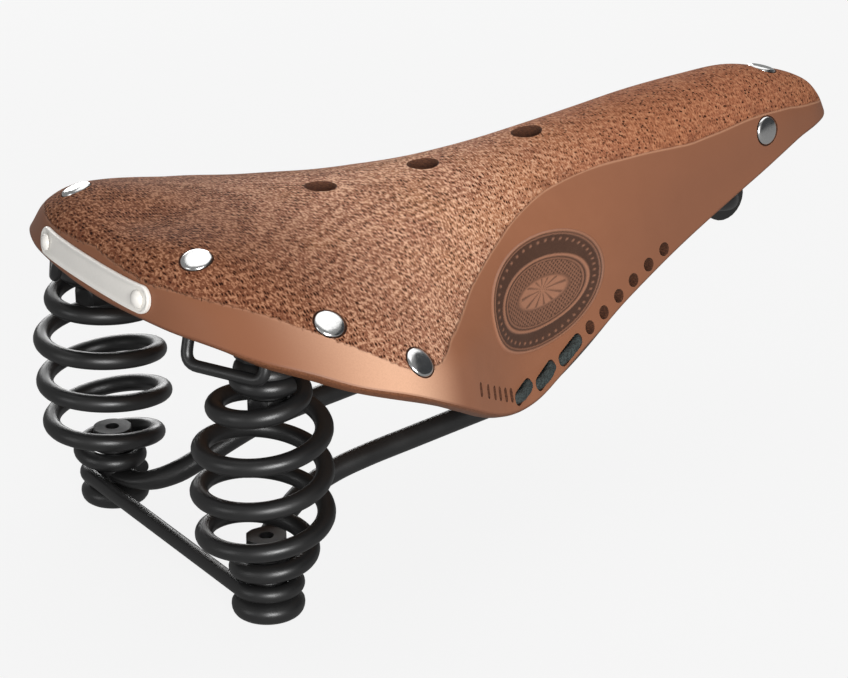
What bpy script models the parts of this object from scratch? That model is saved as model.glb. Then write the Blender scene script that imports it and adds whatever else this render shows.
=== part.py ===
"""Sprung leather bicycle saddle: a moulded hide stretched between a cantle plate and an adjustable nose
piece, carried by two coil springs at the back and a hinged shackle at the front of a bent steel rail.

Numbers are millimetres. Lengths run forward from the spring bolts, heights up from the underside of the
spring caps. `at` moves them to the part's origin, midway between the rails where a seatpost clamps them.
"""

import math

import bpy
import numpy as np
from mathutils import Vector

# Origin, in saddle millimetres
CLAMP_X = 58.0
CLAMP_Z = 28.2

# Hide
HIDE_THICKNESS = 4.5
VENTS_X = (49.5, 86.0, 124.5)
VENT_RADIUS = 4.3
HEAD_SINK = 0.9
HEAD_RADIUS = 4.8
SHANK_RADIUS = 2.0
LACE_RADIUS = 1.45
HOLE_RADIUS = 1.75

# Springs
WIRE_RADIUS = 2.7
SPRING_FOOT_Y = 47.2
SPRING_HEAD_X = -1.0
SPRING_HEAD_Y = 52.3

# Steel frame
RAIL_RADIUS = 3.5
RAIL_GAP = 44.0
BAR_RADIUS = 2.4
HOOK_RADIUS = 8.4
PIVOT_X = 200.0
PIVOT_Z = 74.5
TENSION_Z = 92.5

# Each rib of the hide runs from the centre line over the ridge to the lower edge: where it starts on the
# centre line, the ridge point, how steeply it drops there in degrees, and the edge point.
RIBS = (
    (-8.0, (-24.7, 0.0, 105.3), 42, (-28.4, 0.0, 90.0)),
    (-6.0, (-24.5, 12.2, 105.3), 42, (-28.3, 12.6, 90.3)),
    (-2.0, (-23.4, 26.2, 105.1), 42, (-27.6, 27.1, 91.0)),
    (4.0, (-19.9, 40.2, 104.0), 40, (-25.1, 42.1, 90.9)),
    (11.0, (-14.0, 52.4, 101.4), 38, (-20.0, 56.5, 90.3)),
    (18.0, (-5.3, 61.7, 97.8), 37, (-12.5, 68.3, 88.0)),
    (25.0, (4.9, 69.8, 93.4), 37, (-1.6, 77.4, 84.9)),
    (32.0, (15.9, 76.1, 88.5), 38, (10.2, 83.4, 80.2)),
    (39.0, (27.4, 80.5, 84.1), 40, (24.0, 88.0, 76.1)),
    (46.0, (39.5, 78.3, 80.9), 43, (38.9, 84.3, 68.6)),
    (54.0, (51.2, 69.5, 81.2), 45, (52.3, 76.8, 60.7)),
    (62.0, (62.1, 58.6, 82.5), 46, (63.9, 69.1, 53.7)),
    (70.0, (72.6, 48.1, 85.2), 47, (74.8, 61.6, 48.1)),
    (79.0, (82.5, 39.5, 88.4), 47, (84.9, 55.7, 45.3)),
    (88.0, (92.8, 32.5, 91.7), 47, (94.8, 50.9, 45.2)),
    (99.0, (103.3, 27.5, 94.8), 48, (105.2, 45.9, 47.5)),
    (111.0, (114.9, 23.8, 97.7), 48, (115.9, 41.4, 51.0)),
    (124.0, (127.1, 21.4, 100.0), 49, (127.0, 37.1, 54.8)),
    (138.0, (140.0, 19.8, 102.2), 50, (138.8, 33.1, 59.7)),
    (152.0, (153.3, 18.9, 104.3), 51, (152.3, 29.4, 65.2)),
    (166.0, (167.3, 18.5, 106.3), 52, (165.8, 26.2, 70.7)),
    (180.0, (181.2, 18.0, 107.4), 53, (179.5, 23.7, 76.3)),
    (193.0, (193.8, 17.4, 107.7), 53, (192.3, 21.8, 81.6)),
    (205.0, (205.5, 16.4, 106.9), 53, (204.2, 20.1, 86.5)),
    (214.0, (215.3, 14.8, 105.7), 54, (214.1, 18.2, 90.4)),
    (221.0, (223.9, 12.2, 104.3), 55, (223.5, 15.3, 93.1)),
    (226.5, (232.4, 9.0, 103.5), 56, (233.4, 11.4, 94.5)),
    (230.0, (238.0, 5.0, 103.1), 56, (240.9, 6.3, 95.1)),
    (232.0, (239.6, 0.0, 103.3), 56, (244.1, 0.0, 95.7)),
)
LAST = len(RIBS) - 1

# Crown of the hide along the centre line
CROWN_X = (-26.0, -8.0, 10.0, 30.0, 50.0, 70.0, 90.0, 110.0, 130.0, 150.0, 170.0, 190.0, 205.0, 218.0, 232.0)
CROWN_Z = (107.0, 108.1, 109.1, 108.0, 107.0, 106.6, 107.2, 108.5, 110.7, 112.8, 114.7, 116.1, 116.9, 114.3, 109.4)


def at(x, y, z):
    """A point in saddle millimetres, as metres from the part's origin."""
    return Vector(((x - CLAMP_X) / 1000, y / 1000, (z - CLAMP_Z) / 1000))


# Scene, collections and materials


def cleared_scene():
    for obj in list(bpy.data.objects):
        bpy.data.objects.remove(obj, do_unlink=True)
    collections = []
    for name in ("leather_saddle", "cutters"):
        collection = bpy.data.collections.new(name)
        bpy.context.scene.collection.children.link(collection)
        collections.append(collection)
    return collections


def material(name, colour, roughness, metallic=0.0):
    made = bpy.data.materials.new(name)
    made.use_nodes = True
    shader = made.node_tree.nodes["Principled BSDF"]
    shader.inputs["Base Color"].default_value = (*colour, 1.0)
    shader.inputs["Roughness"].default_value = roughness
    shader.inputs["Metallic"].default_value = metallic
    made.diffuse_color = (*colour, 1.0)
    return made


SADDLE, CUTTERS = cleared_scene()
LEATHER = material("leather", (0.30, 0.125, 0.06), 0.6)
BLACK = material("black_steel", (0.02, 0.02, 0.021), 0.42, 0.3)
NICKEL = material("nickel", (0.82, 0.80, 0.75), 0.18, 1.0)
ZINC = material("zinc_steel", (0.52, 0.53, 0.54), 0.35, 1.0)
CORD = material("lace_cord", (0.035, 0.04, 0.035), 0.9)


# Builders


def finish(obj, look=None):
    """Puts an object with its parts: in the saddle if it has a material, with the cutters if not."""
    if look is None:
        CUTTERS.objects.link(obj)
        obj.hide_render = True
        obj.display_type = "WIRE"
    else:
        SADDLE.objects.link(obj)
        obj.data.materials.append(look)
    return obj


def mesh_object(name, points, faces, look=None, origin=(CLAMP_X, 0.0, CLAMP_Z)):
    """A mesh from saddle millimetres, with its object origin at `origin`."""
    base = np.array(origin, float)
    mesh = bpy.data.meshes.new(name)
    mesh.from_pydata(((np.asarray(points, float) - base) / 1000).tolist(), [], [list(f) for f in faces])
    mesh.update()
    obj = bpy.data.objects.new(name, mesh)
    obj.location = at(*origin)
    return finish(obj, look)


def turned(name, profile, where, look=None, axis=(0, 0, 1), steps=14, ring=False):
    """A turned piece: (radius, height) points from the top down its outer side, spun about `axis`."""
    mesh = bpy.data.meshes.new(name)
    count = len(profile)
    edges = [(i, i + 1) for i in range(count - 1)]
    if ring:
        edges.append((count - 1, 0))
    mesh.from_pydata([(r / 1000, 0.0, h / 1000) for r, h in profile], edges, [])
    obj = bpy.data.objects.new(name, mesh)
    spin = obj.modifiers.new("spin", "SCREW")
    spin.steps = steps
    spin.render_steps = steps
    spin.use_merge_vertices = True
    spin.merge_threshold = 0.00001
    obj.location = at(*where)
    obj.rotation_euler = Vector((0, 0, 1)).rotation_difference(Vector(axis)).to_euler()
    return finish(obj, look)


def prism(name, outline, depth, where, look=None, axis=(0, 0, 1)):
    """A flat outline of (x, y) points, `depth` thick, lying across `axis` and centred on `where`."""
    count = len(outline)
    low = [(x / 1000, y / 1000, -depth / 2000) for x, y in outline]
    high = [(x / 1000, y / 1000, depth / 2000) for x, y in outline]
    faces = [tuple(range(count - 1, -1, -1)), tuple(range(count, 2 * count))]
    for i in range(count):
        j = (i + 1) % count
        faces.append((i, j, count + j, count + i))
    mesh = bpy.data.meshes.new(name)
    mesh.from_pydata(low + high, [], faces)
    obj = bpy.data.objects.new(name, mesh)
    obj.location = at(*where)
    obj.rotation_euler = Vector((0, 0, 1)).rotation_difference(Vector(axis)).to_euler()
    return finish(obj, look)


def hexagon(across_flats):
    radius = across_flats / math.sqrt(3)
    return [(radius * math.cos(math.radians(60 * i)), radius * math.sin(math.radians(60 * i))) for i in range(6)]


def tube(name, path, sizes, look=None, sides=10, up=(0.0, 0.0, 1.0)):
    """A rod swept along saddle points. `sizes` gives each point's (half width, half height) across it."""
    path = np.asarray(path, float)
    ahead = np.gradient(path, axis=0)
    ahead /= np.linalg.norm(ahead, axis=1)[:, None]
    side = np.cross(ahead, np.array(up))
    flat = np.linalg.norm(side, axis=1) < 0.05
    side[flat] = (0.0, 1.0, 0.0)
    side /= np.linalg.norm(side, axis=1)[:, None]
    top = np.cross(side, ahead)
    turn = np.linspace(0, 2 * math.pi, sides, endpoint=False) + math.pi / sides
    points = []
    for p, s, t, (wide, high) in zip(path, side, top, sizes):
        points += [p + s * wide * math.cos(a) + t * high * math.sin(a) for a in turn]
    faces = []
    for i in range(len(path) - 1):
        for k in range(sides):
            m = (k + 1) % sides
            faces.append((i * sides + k, (i + 1) * sides + k, (i + 1) * sides + m, i * sides + m))
    last = (len(path) - 1) * sides
    faces.append(tuple(range(sides)))
    faces.append(tuple(range(last + sides - 1, last - 1, -1)))
    faces = [f[::-1] for f in faces]
    return mesh_object(name, points, outward(points, faces), look)


def outward(points, faces):
    """The faces, all turned round if they enclose their volume inside out."""
    points = np.asarray(points, float)
    volume = 0.0
    for face in faces:
        for a, b in zip(face[1:-1], face[2:]):
            volume += np.dot(points[face[0]], np.cross(points[a], points[b]))
    return faces if volume > 0 else [f[::-1] for f in faces]


def combine(target, cutter, operation="DIFFERENCE"):
    step = target.modifiers.new(operation.lower(), "BOOLEAN")
    step.operation = operation
    step.solver = "EXACT"
    step.object = cutter


def smooth_path(points, per=4):
    """A Catmull-Rom curve through the points, `per` steps to each span."""
    points = np.asarray(points, float)
    padded = np.vstack([2 * points[0] - points[1], points, 2 * points[-1] - points[-2]])
    made = []
    for i in range(len(points) - 1):
        a, b, c, d = padded[i : i + 4]
        for k in range(per):
            t = k / per
            made.append(0.5 * (2 * b + (c - a) * t + (2 * a - 5 * b + 4 * c - d) * t**2 + (3 * b - a - 3 * c + d) * t**3))
    made.append(points[-1])
    return np.array(made)


# Surface of the hide


def rib_table():
    """Rows of the rib numbers, with two mirrored ribs past each end so that the surface stays smooth there."""
    rows = np.array([[c, *k, drop, *r] for c, k, drop, r in RIBS], float)
    flip = np.array([1, 1, -1, 1, 1, 1, -1, 1], float)
    return np.vstack([rows[2] * flip, rows[1] * flip, rows, rows[-2] * flip, rows[-3] * flip])


TABLE = rib_table()


def rib_at(t):
    i = int(min(max(math.floor(t), 0), LAST - 1))
    a, b, c, d = TABLE[i + 1 : i + 5]
    s = t - i
    value = 0.5 * (2 * b + (c - a) * s + (2 * a - 5 * b + 4 * c - d) * s**2 + (3 * b - a - 3 * c + d) * s**3)
    slope = 0.5 * ((c - a) + 2 * (2 * a - 5 * b + 4 * c - d) * s + 3 * (3 * b - a - 3 * c + d) * s**2)
    return value, slope


def crown(x):
    i = int(min(max(np.searchsorted(CROWN_X, x) - 1, 0), len(CROWN_X) - 2))
    x0, x1, z0, z1 = CROWN_X[i], CROWN_X[i + 1], CROWN_Z[i], CROWN_Z[i + 1]
    back = (z1 - CROWN_Z[i - 1]) / (x1 - CROWN_X[i - 1]) if i > 0 else (z1 - z0) / (x1 - x0)
    fore = (CROWN_Z[i + 2] - z0) / (CROWN_X[i + 2] - x0) if i + 2 < len(CROWN_X) else -0.5
    w = x1 - x0
    s = (x - x0) / w
    return (
        z0 * (2 * s**3 - 3 * s**2 + 1) + z1 * (3 * s**2 - 2 * s**3)
        + back * w * (s**3 - 2 * s**2 + s) + fore * w * (s**3 - s**2)
    )


def bezier(a, b, c, d, s):
    return a * (1 - s) ** 3 + 3 * b * s * (1 - s) ** 2 + 3 * c * s**2 * (1 - s) + d * s**3


def hide_point(t, s):
    """The hide's outer face: `t` is the rib, `s` is 0 on the centre line, 1 on the ridge and 2 at the edge."""
    value, slope = rib_at(t)
    start = np.array([value[0], 0.0, crown(value[0])])
    ridge = value[1:4]
    edge = value[5:8]
    drop = math.radians(value[4])
    along = slope[1:3] / max(np.linalg.norm(slope[1:3]), 1e-9)
    out = np.array([-along[1], along[0]])
    fall = edge[:2] - ridge[:2]
    fall = fall / max(np.linalg.norm(fall), 1e-9)
    if np.dot(out, fall) < 0:
        out = -out
    out = out + 0.5 * fall
    out /= np.linalg.norm(out)
    over = np.array([out[0] * math.cos(drop), out[1] * math.cos(drop), -math.sin(drop)])
    if s <= 1:
        span = ridge - start
        length = np.linalg.norm(span)
        away = span[:2] / max(np.linalg.norm(span[:2]), 1e-9)
        pitch = (crown(value[0] + 0.5) - crown(value[0] - 0.5)) * away[0]
        leave = np.array([away[0], away[1], pitch])
        return bezier(start, start + leave * length * 0.42, ridge - over * min(length * 0.35, 17.0), ridge, s)
    span = edge - ridge
    length = np.linalg.norm(span)
    reach = span / length + np.array([0.0, 0.0, -0.16])
    reach /= np.linalg.norm(reach)
    return bezier(ridge, ridge + over * min(length * 0.36, 15.0), edge - reach * length * 0.4, edge, s - 1)


def hide_normal(t, s):
    """The outward normal of the hide's outer face."""
    h = 0.02
    here = hide_point(t, s)
    if s <= 0:
        x = here[0]
        normal = np.array([(crown(x - 0.5) - crown(x + 0.5)), 0.0, 1.0])
        return normal / np.linalg.norm(normal)
    if t <= 0 or t >= LAST:
        across = np.array([0.0, 1.0, 0.0])
    else:
        across = hide_point(min(t + h, LAST), s) - hide_point(max(t - h, 0.0), s)
    down = hide_point(t, min(s + h, 2.0)) - hide_point(t, max(s - h, 0.0))
    normal = np.cross(across, down)
    core = np.array([min(max(here[0], 10.0), 200.0), 0.0, 60.0])
    return normal / np.linalg.norm(normal) * (1 if np.dot(normal, here - core) > 0 else -1)


def on_hide(t, s, lift=0.0, side=1):
    """A point `lift` above the hide's outer face, on the left for side 1 and on the right for side -1."""
    return (hide_point(t, s) + hide_normal(t, s) * lift) * np.array([1, side, 1])


def normal_on(t, s, side=1):
    return hide_normal(t, s) * np.array([1, side, 1])


def hide_sheet(name, ribs, across, lift_out, lift_in, look):
    """A sheet along the hide: its two halves share the centre line, and the first and last ribs of the hide."""
    index = {}
    points = []

    def find(layer, side, i, j):
        on_centre = j == 0 or ribs[i] <= 0 or ribs[i] >= LAST
        return index[(layer, 1 if on_centre else side, i, j)]

    for layer, lift in enumerate((lift_out, lift_in)):
        for side in (1, -1):
            for i, t in enumerate(ribs):
                for j, s in enumerate(across):
                    on_centre = j == 0 or t <= 0 or t >= LAST
                    key = (layer, 1 if on_centre else side, i, j)
                    if key in index:
                        continue
                    index[key] = len(points)
                    point = on_hide(t, s, lift, side)
                    point[1] = 0.0 if on_centre else point[1]
                    points.append(point)
    faces = []
    far = len(across) - 1
    for side in (1, -1):
        for i in range(len(ribs) - 1):
            for j in range(far):
                quad = [(i, j), (i + 1, j), (i + 1, j + 1), (i, j + 1)]
                faces.append(tuple(find(0, side, *q) for q in quad)[::side])
                faces.append(tuple(find(1, side, *q) for q in quad)[::-side])
            rim = (find(0, side, i + 1, far), find(1, side, i + 1, far), find(1, side, i, far), find(0, side, i, far))
            faces.append(rim[::side])
        for i, turn in ((0, 1), (len(ribs) - 1, -1)):
            if 0 < ribs[i] < LAST:
                for j in range(far):
                    end = (find(0, side, i, j), find(0, side, i, j + 1), find(1, side, i, j + 1), find(1, side, i, j))
                    faces.append(end[:: side * turn])
    return mesh_object(name, points, outward(points, faces), look)


def strip(name, columns, lift_out, lift_in, look):
    """A sheet along the hide made of columns: each is a rib, a side and the places across it."""
    points = []
    for lift in (lift_out, lift_in):
        for t, side, across in columns:
            points += [on_hide(t, s, lift, side) for s in across]
    count, rows = len(columns), len(columns[0][2])
    layer = count * rows
    faces = []
    for c in range(count - 1):
        for j in range(rows - 1):
            a, b, d, e = c * rows + j, (c + 1) * rows + j, (c + 1) * rows + j + 1, c * rows + j + 1
            faces.append((a, b, d, e))
            faces.append((layer + e, layer + d, layer + b, layer + a))
        a, b = c * rows, (c + 1) * rows
        faces.append((a, layer + a, layer + b, b))
        a, b = a + rows - 1, b + rows - 1
        faces.append((b, layer + b, layer + a, a))
    for c, turn in ((0, 1), (count - 1, -1)):
        for j in range(rows - 1):
            a, e = c * rows + j, c * rows + j + 1
            faces.append((a, e, layer + e, layer + a)[::turn])
    return mesh_object(name, points, outward(points, faces), look)


def find_on_hide(target, axes, t, s):
    """The rib and place on it whose point matches `target` in the two given axes, starting from a guess."""
    target = np.array(target, float)
    for _ in range(30):
        here = hide_point(t, s)[list(axes)]
        along = (hide_point(t + 0.01, s)[list(axes)] - here) / 0.01
        down = (hide_point(t, s + 0.001)[list(axes)] - here) / 0.001
        step = np.linalg.lstsq(np.column_stack([along, down]), target - here, rcond=None)[0]
        t = min(max(t + max(min(step[0], 0.5), -0.5), 0.0), float(LAST))
        s = min(max(s + max(min(step[1], 0.1), -0.1), 0.0), 2.0)
    return t, s


# Hide, with its rivets, vents and lacing holes

ACROSS = (0.0, 0.25, 0.5, 0.76, 1.0, 1.16, 1.4, 1.7, 2.0)
hide = hide_sheet("leather_top", [float(i) for i in range(LAST + 1)], ACROSS, 0.0, -HIDE_THICKNESS, LEATHER)
hide_cuts = bpy.data.collections.new("hide_cutters")
cantle_cuts = bpy.data.collections.new("cantle_cutters")
nose_cuts = bpy.data.collections.new("nose_cutters")
for group in (hide_cuts, cantle_cuts, nose_cuts):
    CUTTERS.children.link(group)


def add_to(group, cutter):
    CUTTERS.objects.unlink(cutter)
    group.objects.link(cutter)


def fix_rivet(name, t, s, side, groups):
    """A low domed rivet in a shallow seat, through the hide and the plate behind it."""
    where = on_hide(t, s, 0.0, side)
    axis = normal_on(t, s, side)
    wide = HEAD_RADIUS + 0.3
    hole = SHANK_RADIUS + 0.3
    seat = [(0, 4), (wide, 4), (wide, -HEAD_SINK), (hole, -HEAD_SINK), (hole, -10), (0, -10)]
    for group in groups:
        add_to(group, turned(name + "_seat", seat, where, None, axis, 14))
    low = 0.3 - HEAD_SINK
    body = [(0, 0.9), (2.1, 0.75), (3.7, 0.3), (4.5, -0.15), (HEAD_RADIUS, low)]
    body += [(SHANK_RADIUS, low), (SHANK_RADIUS, -8.0), (0, -8.0)]
    turned(name, body, where, NICKEL, axis, 14)


REAR_RIVETS = ((3.06, 0.79), (6.31, 0.91), (8.36, 1.05))
number = 1
for side, word in ((1, "left"), (-1, "right")):
    for t, s in REAR_RIVETS:
        fix_rivet(f"rear_rivet_{word}_{number}", t, s, side, (hide_cuts, cantle_cuts))
        number += 1
    number = 1
    t, s = find_on_hide((205.6, 99.9), (0, 2), 23.0, 1.35)
    fix_rivet(f"nose_rivet_{word}", t, s, side, (hide_cuts, nose_cuts))
fix_rivet("nose_rivet_top", 24.6, 0.0, 1, (hide_cuts, nose_cuts))

for count, x in enumerate(VENTS_X):
    t = 10.0 + count * 3.0
    for _ in range(40):
        t += (x - hide_point(t, 0.0)[0]) / 12.0
    vent = [(0, 8), (VENT_RADIUS, 8), (VENT_RADIUS, -8), (0, -8)]
    add_to(hide_cuts, turned(f"vent_{count}", vent, on_hide(t, 0.0), None, normal_on(t, 0.0), 16))

# Holes along each lower edge, from the back: six that hold the lace, then six open ones
LACED = ((12.75, 1.92), (13.42, 1.885), (13.98, 1.925), (14.68, 1.905), (15.22, 1.93), (15.98, 1.92))
OPEN = ((16.55, 1.92), (17.18, 1.92), (17.81, 1.918), (18.37, 1.914), (18.9, 1.908), (19.44, 1.902))
for side, word in ((1, "left"), (-1, "right")):
    for count, (t, s) in enumerate(LACED + OPEN):
        wide = HOLE_RADIUS + (0.25 if count < 6 else 0.0)
        hole = [(0, 4), (wide, 4), (wide, -9), (0, -9)]
        cutter = turned(f"hole_{word}_{count}", hole, on_hide(t, s, 0, side), None, normal_on(t, s, side), 10)
        add_to(hide_cuts, cutter)

# Badge: a pill-shaped plate on the rear band, left plain, held by two rivets

BADGE_HALF = 32.6
BADGE_HIGH = 4.1
BADGE_Z = 97.0


def badge_points(lift):
    points = []
    for y in (-32.0, -31.0, -29.6, -26.0, -20.0, -13.0, -6.5, 0.0, 6.5, 13.0, 20.0, 26.0, 29.6, 31.0, 32.0):
        past = max(abs(y) - (BADGE_HALF - BADGE_HIGH), 0.0)
        high = math.sqrt(BADGE_HIGH**2 - past**2)
        for step in (-1.0, -0.5, 0.0, 0.5, 1.0):
            t, s = find_on_hide((abs(y), BADGE_Z + step * high * 0.98), (1, 2), abs(y) / 13.0, 1.45)
            points.append(on_hide(t, s, lift, 1 if y >= 0 else -1))
    return points


def badge_plate():
    points = badge_points(1.3) + badge_points(0.3)
    rows, count = 5, 15
    layer = rows * count
    faces = []
    for c in range(count - 1):
        for j in range(rows - 1):
            a, b, d, e = c * rows + j, (c + 1) * rows + j, (c + 1) * rows + j + 1, c * rows + j + 1
            faces.append((a, b, d, e))
            faces.append((layer + e, layer + d, layer + b, layer + a))
        a, b = c * rows, (c + 1) * rows
        faces.append((a, layer + a, layer + b, b))
        a, b = a + rows - 1, b + rows - 1
        faces.append((b, layer + b, layer + a, a))
    for c, turn in ((0, 1), (count - 1, -1)):
        for j in range(rows - 1):
            a, e = c * rows + j, c * rows + j + 1
            faces.append((a, e, layer + e, layer + a)[::turn])
    return mesh_object("badge_plate", points, outward(points, faces), NICKEL)


badge = badge_plate()
for side, word in ((1, "left"), (-1, "right")):
    t, s = find_on_hide((27.8, BADGE_Z), (1, 2), 2.2, 1.45)
    where, axis = on_hide(t, s, 0, side), normal_on(t, s, side)
    hole = turned(f"badge_hole_{word}", [(0, 4), (1.4, 4), (1.4, -5.6), (0, -5.6)], where, None, axis, 12)
    combine(badge, hole)
    cut = turned(f"badge_bore_{word}", [(0, 4), (1.4, 4), (1.4, -5.6), (0, -5.6)], where, None, axis, 12)
    add_to(hide_cuts, cut)
    pin = [(0, 2.9), (1.6, 2.7), (2.5, 2.1), (2.7, 1.6), (1.1, 1.6), (1.1, -4.6), (0, -4.6)]
    turned(f"badge_rivet_{word}", pin, where, NICKEL, axis, 14)

cut_hide = hide.modifiers.new("holes", "BOOLEAN")
cut_hide.operation = "DIFFERENCE"
cut_hide.solver = "EXACT"
cut_hide.operand_type = "COLLECTION"
cut_hide.collection = hide_cuts

# Cantle plate: a pressed strip under the rear of the hide, with a pad for each spring


def across_cantle(t):
    length = np.linalg.norm(hide_point(t, 1.0) - hide_point(t, 0.0))
    first = max(0.14, 1 - 24.0 / length)
    return [first, first + (1.0 - first) * 0.36, first + (1.0 - first) * 0.7, 0.97, 1.22]


PLATE_OUT = -(HIDE_THICKNESS + 0.8)
PLATE_IN = PLATE_OUT - 2.0
REAR_RIBS = (0.0, 1.0, 2.0, 3.0, 3.6, 4.3, 5.0, 5.8, 6.6, 7.5, 8.5, 9.4)
columns = [(t, -1, across_cantle(t)) for t in REAR_RIBS[::-1]] + [(t, 1, across_cantle(t)) for t in REAR_RIBS[1:]]
cantle = strip("cantle_plate", columns, PLATE_OUT, PLATE_IN, BLACK)
for side, word in ((1, "left"), (-1, "right")):
    x, y = SPRING_HEAD_X, SPRING_HEAD_Y * side
    disc = [(0, 1.4), (9.2, 1.4), (9.2, -1.4), (0, -1.4)]
    pad = turned(f"pad_{word}", disc, (x, y, 84.2), None, (0, 0, 1), 20)
    combine(cantle, pad, "UNION")
    inner = 42.4
    under = []
    for px in (-9.5, -4.0, 1.5, 7.0):
        t, s = find_on_hide((px, inner + 1.4), (0, 1), 3.5, 0.85)
        under.append((px, on_hide(t, s)[2] - 6.4))
    outline = [(-9.5, 82.85), (7.0, 82.85)] + under[::-1]
    corner = [(px, -pz) for px, pz in outline]
    wall = prism(f"wall_{word}", corner, 2.8, (0, 0, 0), None, (0, 0, 1))
    wall.location = at(0.0, (inner + 1.4) * side, 0.0)
    wall.rotation_euler = (math.radians(-90), 0, 0)
    combine(cantle, wall, "UNION")
    deck = [(-9.5, -5.2), (7.0, -5.2), (7.0, 5.2), (-9.5, 5.2)]
    shelf = prism(f"shelf_{word}", deck, 2.7, (0, (inner + 5.0) * side, 84.2), None)
    combine(cantle, shelf, "UNION")
    bore = turned(f"pad_bore_{word}", [(0, 4), (3.3, 4), (3.3, -4), (0, -4)], (x, y, 84.2), None, (0, 0, 1), 16)
    combine(cantle, bore)
cut_cantle = cantle.modifiers.new("holes", "BOOLEAN")
cut_cantle.operation = "DIFFERENCE"
cut_cantle.solver = "EXACT"
cut_cantle.operand_type = "COLLECTION"
cut_cantle.collection = cantle_cuts

# Bag loops under the rear corners

LOOP_LOW = 80.1
for side, word in ((1, "left"), (-1, "right")):
    top_a = np.array([-15.6, 38.4, 97.2])
    top_b = np.array([-6.4, 61.9, 87.6])
    low_a = np.array([-20.0, 40.0, LOOP_LOW])
    low_b = np.array([-8.0, 63.2, LOOP_LOW - 0.7])
    run = (low_b - low_a) / np.linalg.norm(low_b - low_a)
    rise_a = (top_a - low_a) / np.linalg.norm(top_a - low_a)
    rise_b = (top_b - low_b) / np.linalg.norm(top_b - low_b)
    bend = 4.0
    path = [top_a, low_a + rise_a * bend * 1.6, low_a + rise_a * bend]
    path += [low_a + rise_a * bend * 0.3 + run * bend * 0.3, low_a + run * bend, (low_a + low_b) / 2]
    path += [low_b - run * bend, low_b - run * bend * 0.3 + rise_b * bend * 0.3]
    path += [low_b + rise_b * bend, top_b]
    path = np.array(path) * np.array([1, side, 1])
    tube(f"bag_loop_{word}", path, [(1.9, 1.9)] * len(path), BLACK, 8, (0.9, 0.4 * side, 0.1))

# Springs and the hardware at each end of them


def spring_path(side):
    """Centre line of a coil: closed rings at the ends, wide turns between, leaning out towards the top."""
    turns = (0.1, 0.5, 0.75, 1.0, 1.25, 1.5, 2.0, 2.5, 3.0, 3.5, 4.0, 4.5, 5.0, 5.25, 5.5, 6.05)
    radii = (8.0, 8.0, 8.5, 10.3, 12.4, 14.3, 17.2, 17.7, 17.9, 18.1, 18.1, 17.4, 12.8, 10.2, 8.2, 7.3)
    highs = (75.2, 75.2, 74.6, 71.6, 68.8, 66.0, 60.0, 53.0, 46.2, 39.4, 32.6, 25.9, 19.4, 17.0, 15.2, 14.6)
    foot = np.array([0.0, SPRING_FOOT_Y, 14.6])
    head = np.array([SPRING_HEAD_X, SPRING_HEAD_Y, 75.2])
    lean = (head - foot) / np.linalg.norm(head - foot)
    points = []
    for n in np.linspace(turns[0], turns[-1], 68):
        radius, high = np.interp(n, turns, radii), np.interp(n, turns, highs)
        share = (high - foot[2]) / (head[2] - foot[2])
        centre = foot + (head - foot) * share
        inside = math.sin(math.pi * min(max(share, 0.0), 1.0))
        centre[:2] += np.array([-1.0, -0.9]) * inside
        angle = math.radians(33.0) + 2 * math.pi * n
        flat = np.array([math.cos(angle), math.sin(angle), 0.0]) * radius
        tilt = min(1.0, max(0.0, (radius - 9.0) / 6.0))
        flat[2] -= tilt * (flat[0] * lean[0] + flat[1] * lean[1]) / lean[2]
        points.append(centre + flat)
    return np.array(points) * np.array([1, side, 1])


for side, word in ((1, "left"), (-1, "right")):
    path = spring_path(side)
    tube(f"spring_{word}", path, [(WIRE_RADIUS, WIRE_RADIUS)] * len(path), BLACK, 8)
    x, y = SPRING_HEAD_X, SPRING_HEAD_Y * side
    bolt = [(0, 89.2), (2.6, 88.9), (4.8, 87.9), (6.0, 86.4), (6.0, 85.9), (3.0, 85.9), (3.0, 64.0), (0, 64.0)]
    turned(f"upper_bolt_{word}", bolt, (x, y, 0), BLACK)
    cup = [(5.9, 82.5), (8.0, 81.4), (9.3, 79.6), (9.5, 78.2), (3.3, 78.2), (3.3, 82.5)]
    turned(f"cup_washer_{word}", cup, (x, y, 0), BLACK, steps=18, ring=True)
    turned(f"upper_washer_{word}", [(6.2, 71.9), (6.2, 70.9), (3.3, 70.9), (3.3, 71.9)], (x, y, 0), BLACK, ring=True)
    nut = prism(f"upper_nut_{word}", hexagon(11.4), 5.2, (x, y, 67.9), BLACK)
    combine(nut, turned(f"nut_bore_{word}", [(0, 4), (3.3, 4), (3.3, -4), (0, -4)], (x, y, 67.9), None, steps=14))
    y = SPRING_FOOT_Y * side
    bolt = prism(f"lower_bolt_{word}", hexagon(11.6), 5.6, (0, y, 21.7), BLACK)
    combine(bolt, turned(f"stem_{word}", [(0, 20.5), (3.0, 20.5), (3.0, 2.4), (0, 2.4)], (0, y, 0), None, steps=14), "UNION")
    turned(f"lower_washer_{word}", [(6.7, 18.6), (6.7, 17.6), (3.3, 17.6), (3.3, 18.6)], (0, y, 0), BLACK, ring=True)
    cap = [(0, 1.9), (3.3, 1.9), (3.3, 6.6), (5.6, 6.6), (8.0, 6.1), (9.8, 5.0), (10.7, 3.4), (10.5, 1.7)]
    cap += [(9.5, 0.4), (8.6, 0.0), (0, 0.0)]
    turned(f"spring_cap_{word}", cap, (0, y, 0), BLACK, steps=18)

# Rear crossbar: one rod, hooked round both lower bolts

hook = []
for degree in range(20, -181, -20):
    angle = math.radians(degree)
    hook.append((HOOK_RADIUS * math.cos(angle), -SPRING_FOOT_Y + HOOK_RADIUS * math.sin(angle), 9.3))
bar = hook + [(-HOOK_RADIUS, -30.0, 9.3), (-HOOK_RADIUS, 30.0, 9.3)] + [(x, -y, z) for x, y, z in hook[::-1]]
tube("rear_crossbar", bar, [(BAR_RADIUS, BAR_RADIUS)] * len(bar), BLACK, 8)

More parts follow.
